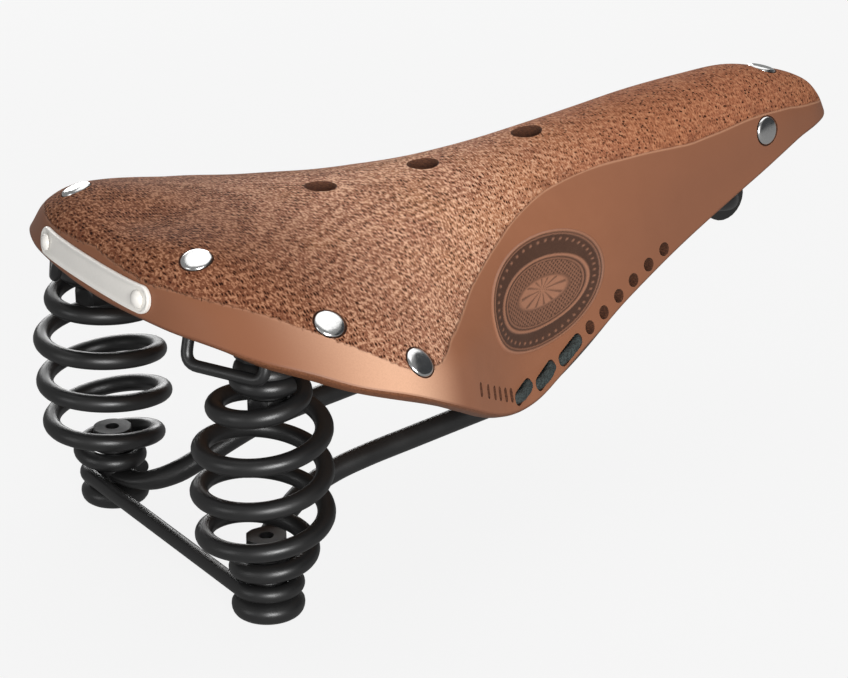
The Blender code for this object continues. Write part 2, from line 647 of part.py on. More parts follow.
# Rails: one rod from eye to eye, straight where the seatpost clamps it, its front bend in the shackle

half = [
    (0.0, 46.0, 9.3), (0.3, 41.5, 9.3), (2.0, 36.8, 9.3), (6.0, 32.0, 10.2), (12.0, 27.8, 12.9), (19.0, 24.8, 16.9),
    (28.0, 22.6, 21.6), (38.0, 22.0, 25.0), (50.0, 22.0, 27.2), (66.0, 22.0, 29.0), (84.0, 22.0, 31.0),
    (100.0, 22.0, 32.8), (110.0, 22.0, 34.6), (118.0, 21.7, 38.0), (128.0, 20.6, 43.8), (139.0, 18.8, 50.8),
    (158.0, 15.6, 63.6), (170.0, 13.9, 71.2), (180.0, 12.9, 75.8), (188.0, 12.3, 77.3),
]
bend = [(194.5, 11.2, 76.3), (198.6, 8.6, 75.0), (PIVOT_X, 5.8, PIVOT_Z)]
left = [*half, *bend]
flat_end = [(4.2, 2.2), (4.1, 2.2), (3.8, 2.5), (RAIL_RADIUS, 3.2)]
sizes = flat_end + [(RAIL_RADIUS, RAIL_RADIUS)] * (len(left) - 4)
rails_path = left + [(x, -y, z) for x, y, z in left[::-1]]
rails = tube("rails", rails_path, sizes + sizes[::-1], BLACK, 10, (0.0, 0.0, 1.0))
for side, word in ((1, "left"), (-1, "right")):
    where = (0, SPRING_FOOT_Y * side, 9.3)
    eye = turned(f"eye_{word}", [(0, 2.2), (5.7, 2.2), (5.7, -2.2), (0, -2.2)], where, None, steps=18)
    combine(rails, eye, "UNION")
    bore = turned(f"eye_bore_{word}", [(0, 4), (3.3, 4), (3.3, -4), (0, -4)], where, None, steps=16)
    combine(rails, bore)

# Front: shackle hooked on the rails, tension bolt and nut, nose piece under the hide

outline = [(194.0, 100.0), (203.0, 100.0), (203.0, 83.1)]
for degree in range(60, -151, -15):
    angle = math.radians(degree)
    outline.append((PIVOT_X + 8.0 * math.cos(angle), PIVOT_Z + 8.0 * math.sin(angle)))
for degree in range(-150, 121, 15):
    angle = math.radians(degree)
    outline.append((PIVOT_X + 3.85 * math.cos(angle), PIVOT_Z + 3.85 * math.sin(angle)))
outline += [(196.0, 81.5), (194.0, 84.5)]
shackle = prism("shackle", [(x - PIVOT_X, -(z - PIVOT_Z)) for x, z in outline][::-1], 10.0, (PIVOT_X, 0, PIVOT_Z), BLACK)
shackle.rotation_euler = (math.radians(-90), 0, 0)
through = [(0, 12), (4.3, 12), (4.3, -12), (0, -12)]
combine(shackle, turned("shackle_bore", through, (198.5, 0, TENSION_Z), None, (1, 0, 0), 16))
nut = prism("tension_nut", hexagon(13.0), 6.4, (206.5, 0, TENSION_Z), ZINC, (1, 0, 0))
combine(nut, turned("tension_nut_bore", through, (206.5, 0, TENSION_Z), None, (1, 0, 0), 16))
NOSE_RIBS = (22.0, 22.6, 23.2, 23.8, 24.4, 25.0, 25.5)
nose = hide_sheet("nose_piece", NOSE_RIBS, (0.0, 0.3, 0.6, 0.85, 1.0, 1.15, 1.35, 1.7), PLATE_OUT, PLATE_IN, BLACK)
edge = [on_hide(24.8, s, -(HIDE_THICKNESS + 1.35)) for s in (0.0, 0.3, 0.6, 0.85, 1.0, 1.15, 1.35, 1.62)]
arch = [(p[1], p[2] - TENSION_Z) for p in edge]
arch = [(-y, z) for y, z in arch[::-1]] + arch[1:] + [(6.6, -5.6), (-6.6, -5.6)]
web = prism("nose_web", arch[::-1], 3.0, (221.3, 0, TENSION_Z), None)
web.rotation_euler = (math.radians(90), 0, math.radians(90))
combine(nose, web, "UNION")
combine(nose, turned("web_bore", through, (221.3, 0, TENSION_Z), None, (1, 0, 0), 16))
cut_nose = nose.modifiers.new("holes", "BOOLEAN")
cut_nose.operation = "DIFFERENCE"
cut_nose.solver = "EXACT"
cut_nose.operand_type = "COLLECTION"
cut_nose.collection = nose_cuts
bolt = prism("tension_bolt", hexagon(12.0), 5.0, (225.7, 0, TENSION_Z), ZINC, (1, 0, 0))
stem = turned("bolt_stem", [(0, 20.0), (4.0, 20.0), (4.0, -19.5), (0, -19.5)], (204.5, 0, TENSION_Z), None, (1, 0, 0), 16)
combine(bolt, stem, "UNION")

# Lace: one cord, crossing under the saddle between the skirts and knotted in the middle


def lace_point(number, side, lift):
    t, s = LACED[number - 1]
    return on_hide(t, s, lift, side)


def stitch(first, second, side):
    """Out of one hole, along the outside and in at the next."""
    inner, outer = -(HIDE_THICKNESS + 2.2), LACE_RADIUS + 1.1
    a, b = LACED[first - 1], LACED[second - 1]
    middle = on_hide((a[0] + b[0]) / 2, (a[1] + b[1]) / 2, outer + 0.25, side)
    points = [lace_point(first, side, inner), lace_point(first, side, -2.2), lace_point(first, side, outer - 0.35)]
    points += [middle, lace_point(second, side, outer - 0.35), lace_point(second, side, -2.2)]
    return points + [lace_point(second, side, inner)]


def crossing(start, end, rise):
    """Across from skirt to skirt, `rise` above or below the straight line halfway."""
    start, end = np.array(start), np.array(end)
    made = []
    for share in (0.05, 0.5, 0.95):
        point = start + (end - start) * share
        point[2] += rise if share == 0.5 else rise * 0.2
        made.append(point)
    return made


route = stitch(1, 2, -1)
route += crossing(route[-1], stitch(3, 4, 1)[0], -2.0) + stitch(3, 4, 1)
route += crossing(route[-1], stitch(5, 6, -1)[0], -2.0) + stitch(5, 6, -1)
route += crossing(route[-1], stitch(6, 5, 1)[0], 0.0) + stitch(6, 5, 1)
route += crossing(route[-1], stitch(4, 3, -1)[0], 2.0) + stitch(4, 3, -1)
route += crossing(route[-1], stitch(2, 1, 1)[0], 2.0) + stitch(2, 1, 1)
knot_at = (np.array(route[0]) + np.array(route[-1])) / 2 + np.array([-3.0, 0.0, -1.0])
knot_ends = [knot_at + np.array([0, -1.0, 0]), knot_at + np.array([0, 1.0, 0])]
leads = [route[0] * 0.92 + knot_at * 0.08, route[-1] * 0.92 + knot_at * 0.08]
route = [knot_ends[0], leads[0], *route, leads[1], knot_ends[1]]
path = smooth_path(route, 2)
lace = tube("lace", path, [(LACE_RADIUS, LACE_RADIUS)] * len(path), CORD, 6)
ball = [(0, 3.2), (1.9, 2.8), (3.3, 1.6), (3.7, 0), (3.3, -1.6), (1.9, -2.8), (0, -3.2)]
combine(lace, turned("knot", ball, tuple(knot_at), None, (0.2, 0.9, 0.1), 12), "UNION")
for side, word in ((1, "left"), (-1, "right")):
    tail = [knot_at + np.array(p) * np.array([1, side, 1]) for p in ((0, 0.8, -0.5), (-2.5, 3.5, -3), (-5, 5, -7))]
    end = tube(f"tail_{word}", smooth_path(tail, 3), [(1.3, 1.3)] * 7, None, 6)
    combine(lace, end, "UNION")
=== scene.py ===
"""Sprung leather bicycle saddle: materials, light and the smooth pieces that stand for the plain CAD nodes.

Lengths in the tables are saddle millimetres, as in the CAD: forward from the spring bolts and up from the
underside of the spring caps. `at` turns them into metres from the seatpost clamp, the frame's origin.
"""

import math

import bpy
import numpy as np
from mathutils import Matrix, Vector, kdtree
from numpy.linalg import norm

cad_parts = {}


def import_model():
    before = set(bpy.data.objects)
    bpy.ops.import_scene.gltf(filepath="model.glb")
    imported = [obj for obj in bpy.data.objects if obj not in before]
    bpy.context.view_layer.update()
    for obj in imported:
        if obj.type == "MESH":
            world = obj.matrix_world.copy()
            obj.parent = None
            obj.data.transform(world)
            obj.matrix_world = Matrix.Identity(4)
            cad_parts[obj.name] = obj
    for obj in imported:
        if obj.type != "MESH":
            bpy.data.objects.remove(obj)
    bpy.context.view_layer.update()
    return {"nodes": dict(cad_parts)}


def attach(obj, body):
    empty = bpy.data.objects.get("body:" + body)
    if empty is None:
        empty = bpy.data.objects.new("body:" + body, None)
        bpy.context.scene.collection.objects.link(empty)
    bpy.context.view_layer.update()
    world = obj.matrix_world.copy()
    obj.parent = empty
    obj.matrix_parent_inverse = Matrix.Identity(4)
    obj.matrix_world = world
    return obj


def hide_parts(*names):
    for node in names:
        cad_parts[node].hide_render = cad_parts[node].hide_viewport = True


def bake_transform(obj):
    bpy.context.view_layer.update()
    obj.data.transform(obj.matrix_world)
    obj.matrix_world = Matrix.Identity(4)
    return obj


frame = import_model()
NODES = frame["nodes"]
SCENE = bpy.context.scene

SIDES = ((1, "left"), (-1, "right"))
CLAMP = np.array([58.0, 0.0, 28.2])
FLOOR_GAP = 0.0003
FLOOR_Z = -CLAMP[2] / 1000 - FLOOR_GAP


def at(p):
    return (np.asarray(p, float) - CLAMP) / 1000


def add(name, data):
    obj = bpy.data.objects.new(name, data)
    SCENE.collection.objects.link(obj)
    return obj


# Camera


CAMERA_TURN = (33.18, 22.15, -0.65)  # azimuth, elevation and roll, in degrees
CAMERA_TARGET = (85.74, 0.0, 49.41)
CAMERA_DISTANCE = 0.9148
CAMERA_LENS = 124.8


def place_camera():
    azimuth, elevation, roll = map(math.radians, CAMERA_TURN)
    data = bpy.data.cameras.new("camera")
    data.lens = CAMERA_LENS
    data.sensor_width = 36.0
    data.clip_start = 0.05
    data.clip_end = 40.0
    camera = add("camera", data)
    turn = Matrix.Rotation(-azimuth, 4, "Z") @ Matrix.Rotation(math.pi / 2 - elevation, 4, "X")
    turn = turn @ Matrix.Rotation(roll, 4, "Z")
    back = Matrix.Translation((0, 0, CAMERA_DISTANCE))
    camera.matrix_world = Matrix.Translation(at(CAMERA_TARGET)) @ turn @ back
    SCENE.camera = camera


place_camera()
SCENE.view_settings.view_transform = "Standard"

# Hide, as in the CAD. Each rib: x on the centre line, the ridge, how steeply it turns down, the lower edge

RIBS = (
    (-8, -24.7, 0, 105.3, 42, -28.4, 0, 90),
    (-6, -24.5, 12.2, 105.3, 42, -28.3, 12.6, 90.3),
    (-2, -23.4, 26.2, 105.1, 42, -27.6, 27.1, 91),
    (4, -19.9, 40.2, 104, 40, -25.1, 42.1, 90.9),
    (11, -14, 52.4, 101.4, 38, -20, 56.5, 90.3),
    (18, -5.3, 61.7, 97.8, 37, -12.5, 68.3, 88),
    (25, 4.9, 69.8, 93.4, 37, -1.6, 77.4, 84.9),
    (32, 15.9, 76.1, 88.5, 38, 10.2, 83.4, 80.2),
    (39, 27.4, 80.5, 84.1, 40, 24, 88, 76.1),
    (46, 39.5, 78.3, 80.9, 43, 38.9, 84.3, 68.6),
    (54, 51.2, 69.5, 81.2, 45, 52.3, 76.8, 60.7),
    (62, 62.1, 58.6, 82.5, 46, 63.9, 69.1, 53.7),
    (70, 72.6, 48.1, 85.2, 47, 74.8, 61.6, 48.1),
    (79, 82.5, 39.5, 88.4, 47, 84.9, 55.7, 45.3),
    (88, 92.8, 32.5, 91.7, 47, 94.8, 50.9, 45.2),
    (99, 103.3, 27.5, 94.8, 48, 105.2, 45.9, 47.5),
    (111, 114.9, 23.8, 97.7, 48, 115.9, 41.4, 51),
    (124, 127.1, 21.4, 100, 49, 127, 37.1, 54.8),
    (138, 140, 19.8, 102.2, 50, 138.8, 33.1, 59.7),
    (152, 153.3, 18.9, 104.3, 51, 152.3, 29.4, 65.2),
    (166, 167.3, 18.5, 106.3, 52, 165.8, 26.2, 70.7),
    (180, 181.2, 18, 107.4, 53, 179.5, 23.7, 76.3),
    (193, 193.8, 17.4, 107.7, 53, 192.3, 21.8, 81.6),
    (205, 205.5, 16.4, 106.9, 53, 204.2, 20.1, 86.5),
    (214, 215.3, 14.8, 105.7, 54, 214.1, 18.2, 90.4),
    (221, 223.9, 12.2, 104.3, 55, 223.5, 15.3, 93.1),
    (226.5, 232.4, 9, 103.5, 56, 233.4, 11.4, 94.5),
    (230, 238, 5, 103.1, 56, 240.9, 6.3, 95.1),
    (232, 239.6, 0, 103.3, 56, 244.1, 0, 95.7),
)
CROWN_X = (-26, -8, 10, 30, 50, 70, 90, 110, 130, 150, 170, 190, 205, 218, 232)
CROWN_Z = (
    107.0, 108.1, 109.1, 108.0, 107.0, 106.6, 107.2, 108.5, 110.7, 112.8, 114.7, 116.1, 116.9, 114.3, 109.4,
)
THICK = 4.5
LAST = len(RIBS) - 1

# Where the pebbled top meets the smooth skirt: rib, and place on it
BOUNDARY = (
    (0.0, 1.11), (1.2, 1.22), (2.3, 1.28), (3.5, 1.13), (4.6, 1.0), (5.7, 1.0), (6.7, 1.03), (7.5, 1.15),
    (8.0, 1.31), (8.5, 1.3), (8.83, 1.16), (9.37, 1.0), (9.8, 0.975), (11.7, 0.972), (12.9, 0.995),
    (13.85, 1.0), (15.0, 0.976), (16.07, 0.946), (16.93, 0.963), (17.86, 1.003), (19.15, 1.063),
    (20.4, 1.15), (21.5, 1.15), (22.8, 1.1), (24.4, 1.075), (25.8, 1.16), (26.9, 1.29), (28.0, 1.32),
)


def rib_table():
    rows = np.array(RIBS, float)
    flip = np.array([1, 1, -1, 1, 1, 1, -1, 1], float)
    return np.vstack([rows[2] * flip, rows[1] * flip, rows, rows[-2] * flip, rows[-3] * flip])


TABLE = rib_table()


def unit(v):
    return v / np.maximum(norm(v, axis=1), 1e-9)[:, None]


def crown(x):
    xs, zs = np.array(CROWN_X, float), np.array(CROWN_Z)
    last = len(xs) - 1
    i = np.clip(np.searchsorted(xs, x) - 1, 0, last - 1)
    x0, x1, z0, z1 = xs[i], xs[i + 1], zs[i], zs[i + 1]
    before, after = np.maximum(i - 1, 0), np.minimum(i + 2, last)
    back = (z1 - zs[before]) / (x1 - xs[before])
    fore = np.where(i + 2 <= last, (zs[after] - z0) / (xs[after] - x0), -0.5)
    w = x1 - x0
    s = (x - x0) / w
    return (
        z0 * (2 * s**3 - 3 * s**2 + 1) + z1 * (3 * s**2 - 2 * s**3)
        + back * w * (s**3 - 2 * s**2 + s) + fore * w * (s**3 - s**2)
    )


def bezier(a, b, c, d, s):
    return a * (1 - s) ** 3 + 3 * b * s * (1 - s) ** 2 + 3 * c * s**2 * (1 - s) + d * s**3


def between(a, b, c, d, f):
    """Catmull-Rom cubic from b to c."""
    return 0.5 * (2 * b + (c - a) * f + (2 * a - 5 * b + 4 * c - d) * f**2 + (3 * b - a - 3 * c + d) * f**3)


def surface(t, s):
    """Points on the hide's outer face for arrays of rib `t` and place `s`: 0 centre, 1 ridge, 2 edge."""
    t, s = np.asarray(t, float), np.asarray(s, float)
    i = np.clip(np.floor(t).astype(int), 0, LAST - 1)
    a, b, c, d = TABLE[i + 1], TABLE[i + 2], TABLE[i + 3], TABLE[i + 4]
    f = (t - i)[:, None]
    value = between(a, b, c, d, f)
    slope = 0.5 * ((c - a) + 2 * (2 * a - 5 * b + 4 * c - d) * f + 3 * (3 * b - a - 3 * c + d) * f**2)
    start = np.stack([value[:, 0], np.zeros(len(t)), crown(value[:, 0])], 1)
    ridge, edge, drop = value[:, 1:4], value[:, 5:8], np.radians(value[:, 4])
    along = unit(slope[:, 1:3])
    out = np.stack([-along[:, 1], along[:, 0]], 1)
    fall = unit(edge[:, :2] - ridge[:, :2])
    out = unit(np.where(((out * fall).sum(1) < 0)[:, None], -out, out) + 0.5 * fall)
    over = np.stack([out[:, 0] * np.cos(drop), out[:, 1] * np.cos(drop), -np.sin(drop)], 1)
    span = ridge - start
    length = norm(span, axis=1)
    away = unit(span[:, :2])
    pitch = (crown(value[:, 0] + 0.5) - crown(value[:, 0] - 0.5)) * away[:, 0]
    leave = np.stack([away[:, 0], away[:, 1], pitch], 1)
    u = np.minimum(s, 1.0)[:, None]
    reach_in = ridge - over * np.minimum(length * 0.35, 17.0)[:, None]
    inner = bezier(start, start + leave * (length * 0.42)[:, None], reach_in, ridge, u)
    span = edge - ridge
    length = norm(span, axis=1)
    reach = unit(span / length[:, None] + np.array([0.0, 0.0, -0.16]))
    u = np.maximum(s - 1.0, 0.0)[:, None]
    bend = ridge + over * np.minimum(length * 0.36, 15.0)[:, None]
    outer = bezier(ridge, bend, edge - reach * (length * 0.4)[:, None], edge, u)
    return np.where((s <= 1.0)[:, None], inner, outer)


def tangents(t, s):
    """Unit directions (along the ribs' order, down the rib, outward) at each point of the hide."""
    h = 0.015
    low, high = np.maximum(t - h, 0.0), np.minimum(t + h, float(LAST))
    across = surface(high, s) - surface(low, s)
    across[(t <= 0) | (t >= LAST)] = (0.0, 1.0, 0.0)
    down = surface(t, np.minimum(s + h, 2.0)) - surface(t, np.maximum(s - h, 0.0))
    normal = np.cross(across, down)
    here = surface(t, s)
    centre = s <= 1e-6
    tilt = crown(here[:, 0] - 0.5) - crown(here[:, 0] + 0.5)
    normal[centre] = np.stack([tilt, np.zeros(len(t)), np.ones(len(t))], 1)[centre]
    core = np.stack([np.clip(here[:, 0], 10, 200), np.zeros(len(t)), np.full(len(t), 60.0)], 1)
    sign = np.where((normal * (here - core)).sum(1) < 0, -1.0, 1.0)
    normal = unit(normal) * sign[:, None]
    return unit(across), unit(down), normal


def on_hide(t, s, lift, side):
    """Points at a height above the hide, mirrored where `side` is -1."""
    t, s = np.ravel(t).astype(float), np.ravel(s).astype(float)
    points = surface(t, s) + tangents(t, s)[2] * np.reshape(lift, (-1, 1))
    points[:, 1] *= side
    return points


STEP_T, STEP_S = 0.01, 0.001


def find_on_hide(goals, axes, t, s):
    """(t, s) arrays whose points match the goals in the two given axes, from a guess."""
    goals = np.atleast_2d(np.asarray(goals, float))
    t, s = np.full(len(goals), float(t)), np.full(len(goals), float(s))
    for _ in range(40):
        here = surface(t, s)[:, axes]
        a = (surface(np.minimum(t + STEP_T, LAST), s)[:, axes] - here) / STEP_T
        b = (surface(t, np.minimum(s + STEP_S, 2.0))[:, axes] - here) / STEP_S
        miss = goals - here
        det = a[:, 0] * b[:, 1] - a[:, 1] * b[:, 0]
        det = np.where(np.abs(det) < 1e-6, 1e-6, det)
        dt = (miss[:, 0] * b[:, 1] - miss[:, 1] * b[:, 0]) / det
        ds = (a[:, 0] * miss[:, 1] - a[:, 1] * miss[:, 0]) / det
        t = np.clip(t + np.clip(dt, -0.5, 0.5), 0.0, LAST - 0.001)
        s = np.clip(s + np.clip(ds, -0.1, 0.1), 0.0, 1.999)
    return t, s


def boundary(t):
    """Place on each rib where the pebbles stop."""
    ts, ss = np.array(BOUNDARY).T
    fine = np.linspace(0, LAST, 281)
    value = np.interp(fine, ts, ss)
    kernel = np.hanning(7)
    value = np.convolve(np.pad(value, 3, mode="edge"), kernel / kernel.sum(), "valid")
    return np.interp(t, fine, value)


# Meshes


def new_mesh(name, points, faces, material, angle=35.0):
    """A smooth-shaded mesh object from saddle millimetres."""
    mesh = bpy.data.meshes.new(name)
    mesh.from_pydata(at(points).tolist(), [], [tuple(int(i) for i in f) for f in faces])
    mesh.update()
    mesh.shade_smooth()
    mesh.set_sharp_from_angle(angle=math.radians(angle))
    mesh.materials.append(material)
    return add(name, mesh)


def sign_of(points, faces):
    """1 where the faces of a closed mesh point outward, or -1."""
    total = 0.0
    for f in faces:
        p = points[list(f)]
        total += np.dot(p[0], np.cross(p[1], p[2]))
        if len(f) == 4:
            total += np.dot(p[0], np.cross(p[2], p[3]))
    return 1 if total > 0 else -1


def outward(points, faces):
    return faces if sign_of(points, faces) > 0 else [tuple(f)[::-1] for f in faces]


def revolve(profile, where, axis=(0, 0, 1), steps=56, ring=False):
    """(points, faces) of a turned piece: (radius, height) points from the top down its outer side.

    A radius may also be a list, one for each step round. With `ring`, the last row joins the first.
    """
    turn = np.array(Vector((0, 0, 1)).rotation_difference(Vector(axis)).to_matrix())
    angle = np.linspace(0, 2 * math.pi, steps, endpoint=False)
    points, rows = [], []
    for radius, height in profile:
        count = steps if np.max(radius) > 1e-6 else 1
        rows.append(list(range(len(points), len(points) + count)))
        round_it = zip(np.broadcast_to(radius, steps)[:count], angle)
        points += [(r * math.cos(a), r * math.sin(a), height) for r, a in round_it]
    faces = []
    pairs = list(zip(rows[:-1], rows[1:]))
    if ring:
        pairs.append((rows[-1], rows[0]))
    for a, b in pairs:
        for k in range(steps):
            m = (k + 1) % steps
            if len(a) == 1:
                faces.append((a[0], b[k], b[m]))
            elif len(b) == 1:
                faces.append((a[k], b[0], a[m]))
            else:
                faces.append((a[k], b[k], b[m], a[m]))
    points = np.array(points) @ turn.T + where
    return points, outward(points, faces)


def sweep(path, sizes, sides=24, up=(0.0, 0.0, 1.0), shape=None):
    """(points, faces) of a rod along saddle points, closed at both ends.

    `sizes` is one radius, or the sideways and upright radius at each point. `shape` scales it round the rod.
    """
    path = np.asarray(path, float)
    sizes = np.broadcast_to(sizes, (len(path), 2))
    ahead = unit(np.gradient(path, axis=0))
    normal = np.cross(ahead[0], up)
    normal /= norm(normal)
    side = []
    for a in ahead:
        normal = normal - a * np.dot(normal, a)
        normal /= norm(normal)
        side.append(normal.copy())
    side = np.array(side)
    top = np.cross(side, ahead)
    turn = np.linspace(0, 2 * math.pi, sides, endpoint=False)
    ring = np.cos(turn)[None, :, None] * side[:, None] * sizes[:, 0][:, None, None]
    ring = ring + np.sin(turn)[None, :, None] * top[:, None] * sizes[:, 1][:, None, None]
    if shape is not None:
        ring = ring * shape[:, :, None]
    points = (path[:, None] + ring).reshape(-1, 3)
    count = len(path)
    faces = []
    for i in range(count - 1):
        for k in range(sides):
            m = (k + 1) % sides
            faces.append((i * sides + k, i * sides + m, (i + 1) * sides + m, (i + 1) * sides + k))
    first, last = len(points), len(points) + 1
    points = np.vstack([points, path[0], path[-1]])
    base = (count - 1) * sides
    for k in range(sides):
        m = (k + 1) % sides
        faces.append((first, m, k))
        faces.append((last, base + k, base + m))
    return points, outward(points, faces)


def smooth_path(points, per):
    points = np.asarray(points, float)
    padded = np.vstack([2 * points[0] - points[1], points, 2 * points[-1] - points[-2]])
    made = []
    for i in range(len(points) - 1):
        made += [between(*padded[i : i + 4], k / per) for k in range(per)]
    made.append(points[-1])
    return np.array(made)


def resample(path, step):
    run = np.concatenate([[0.0], np.cumsum(norm(np.diff(path, axis=0), axis=1))])
    goal = np.linspace(0.0, run[-1], max(int(run[-1] / step), 2) + 1)
    return np.stack([np.interp(goal, run, path[:, k]) for k in range(3)], 1)


def join(parts):
    """One (points, faces) from several."""
    faces, base = [], 0
    for points, own in parts:
        faces += [tuple(i + base for i in face) for face in own]
        base += len(points)
    return np.vstack([points for points, _ in parts]), faces


# Materials


class Graph:
    """A node material: each call adds one node and returns its output."""

    def __init__(self, name):
        self.material = bpy.data.materials.new(name)
        self.material.use_nodes = True
        self.tree = self.material.node_tree
        self.shader = self.tree.nodes["Principled BSDF"]

    def put(self, value, socket):
        if isinstance(value, bpy.types.NodeSocket):
            self.tree.links.new(value, socket)
        elif socket.type == "RGBA" and len(value) == 3:
            socket.default_value = (*value, 1.0)
        else:
            socket.default_value = value

    def node(self, kind, output=0, props=(), **inputs):
        made = self.tree.nodes.new(kind)
        for key, value in dict(props).items():
            setattr(made, key, value)
        for key, value in inputs.items():
            self.put(value, made.inputs[key.replace("_", " ")])
        return made.outputs[output]

    def math(self, operation, a, b=0.0, clamp=False):
        made = self.tree.nodes.new("ShaderNodeMath")
        made.operation = operation
        made.use_clamp = clamp
        self.put(a, made.inputs[0])
        self.put(b, made.inputs[1])
        return made.outputs[0]

    def times(self, a, b):
        return self.math("MULTIPLY", a, b)

    def plus(self, a, b):
        return self.math("ADD", a, b)

    def minus(self, a, b):
        return self.math("SUBTRACT", a, b)

    def band(self, value, low, high, to_low=0.0, to_high=1.0):
        """A smooth step from to_low at low to to_high at high."""
        made = self.tree.nodes.new("ShaderNodeMapRange")
        made.interpolation_type = "SMOOTHSTEP"
        for index, item in enumerate((value, low, high, to_low, to_high)):
            self.put(item, made.inputs[index])
        return made.outputs[0]

    def mix(self, factor, a, b):
        made = self.tree.nodes.new("ShaderNodeMix")
        made.data_type = "RGBA"
        self.put(factor, made.inputs[0])
        self.put(a, made.inputs[6])
        self.put(b, made.inputs[7])
        return made.outputs[2]

    def tint(self, colour, where, share, other):
        """The colour, moved by a share of `where` towards another."""
        return self.mix(self.times(where, share), colour, other)

    def noise(self, vector, scale, detail=3.0, roughness=0.55):
        return self.node("ShaderNodeTexNoise", Vector=vector, Scale=scale, Detail=detail, Roughness=roughness)

    def attribute(self, name, output=2):
        return self.node("ShaderNodeAttribute", output, {"attribute_name": name})

    def local(self):
        """Object coordinates in millimetres."""
        place = self.node("ShaderNodeTexCoord", 3)
        return self.node("ShaderNodeVectorMath", 0, {"operation": "SCALE"}, Vector=place, Scale=1000.0)

    def bump(self, height):
        """Relief whose height is in millimetres."""
        return self.node("ShaderNodeBump", Height=height, Distance=0.001, Strength=1.0)

    def set(self, **inputs):
        for key, value in inputs.items():
            self.put(value, self.shader.inputs[key.replace("_", " ")])
        return self.material


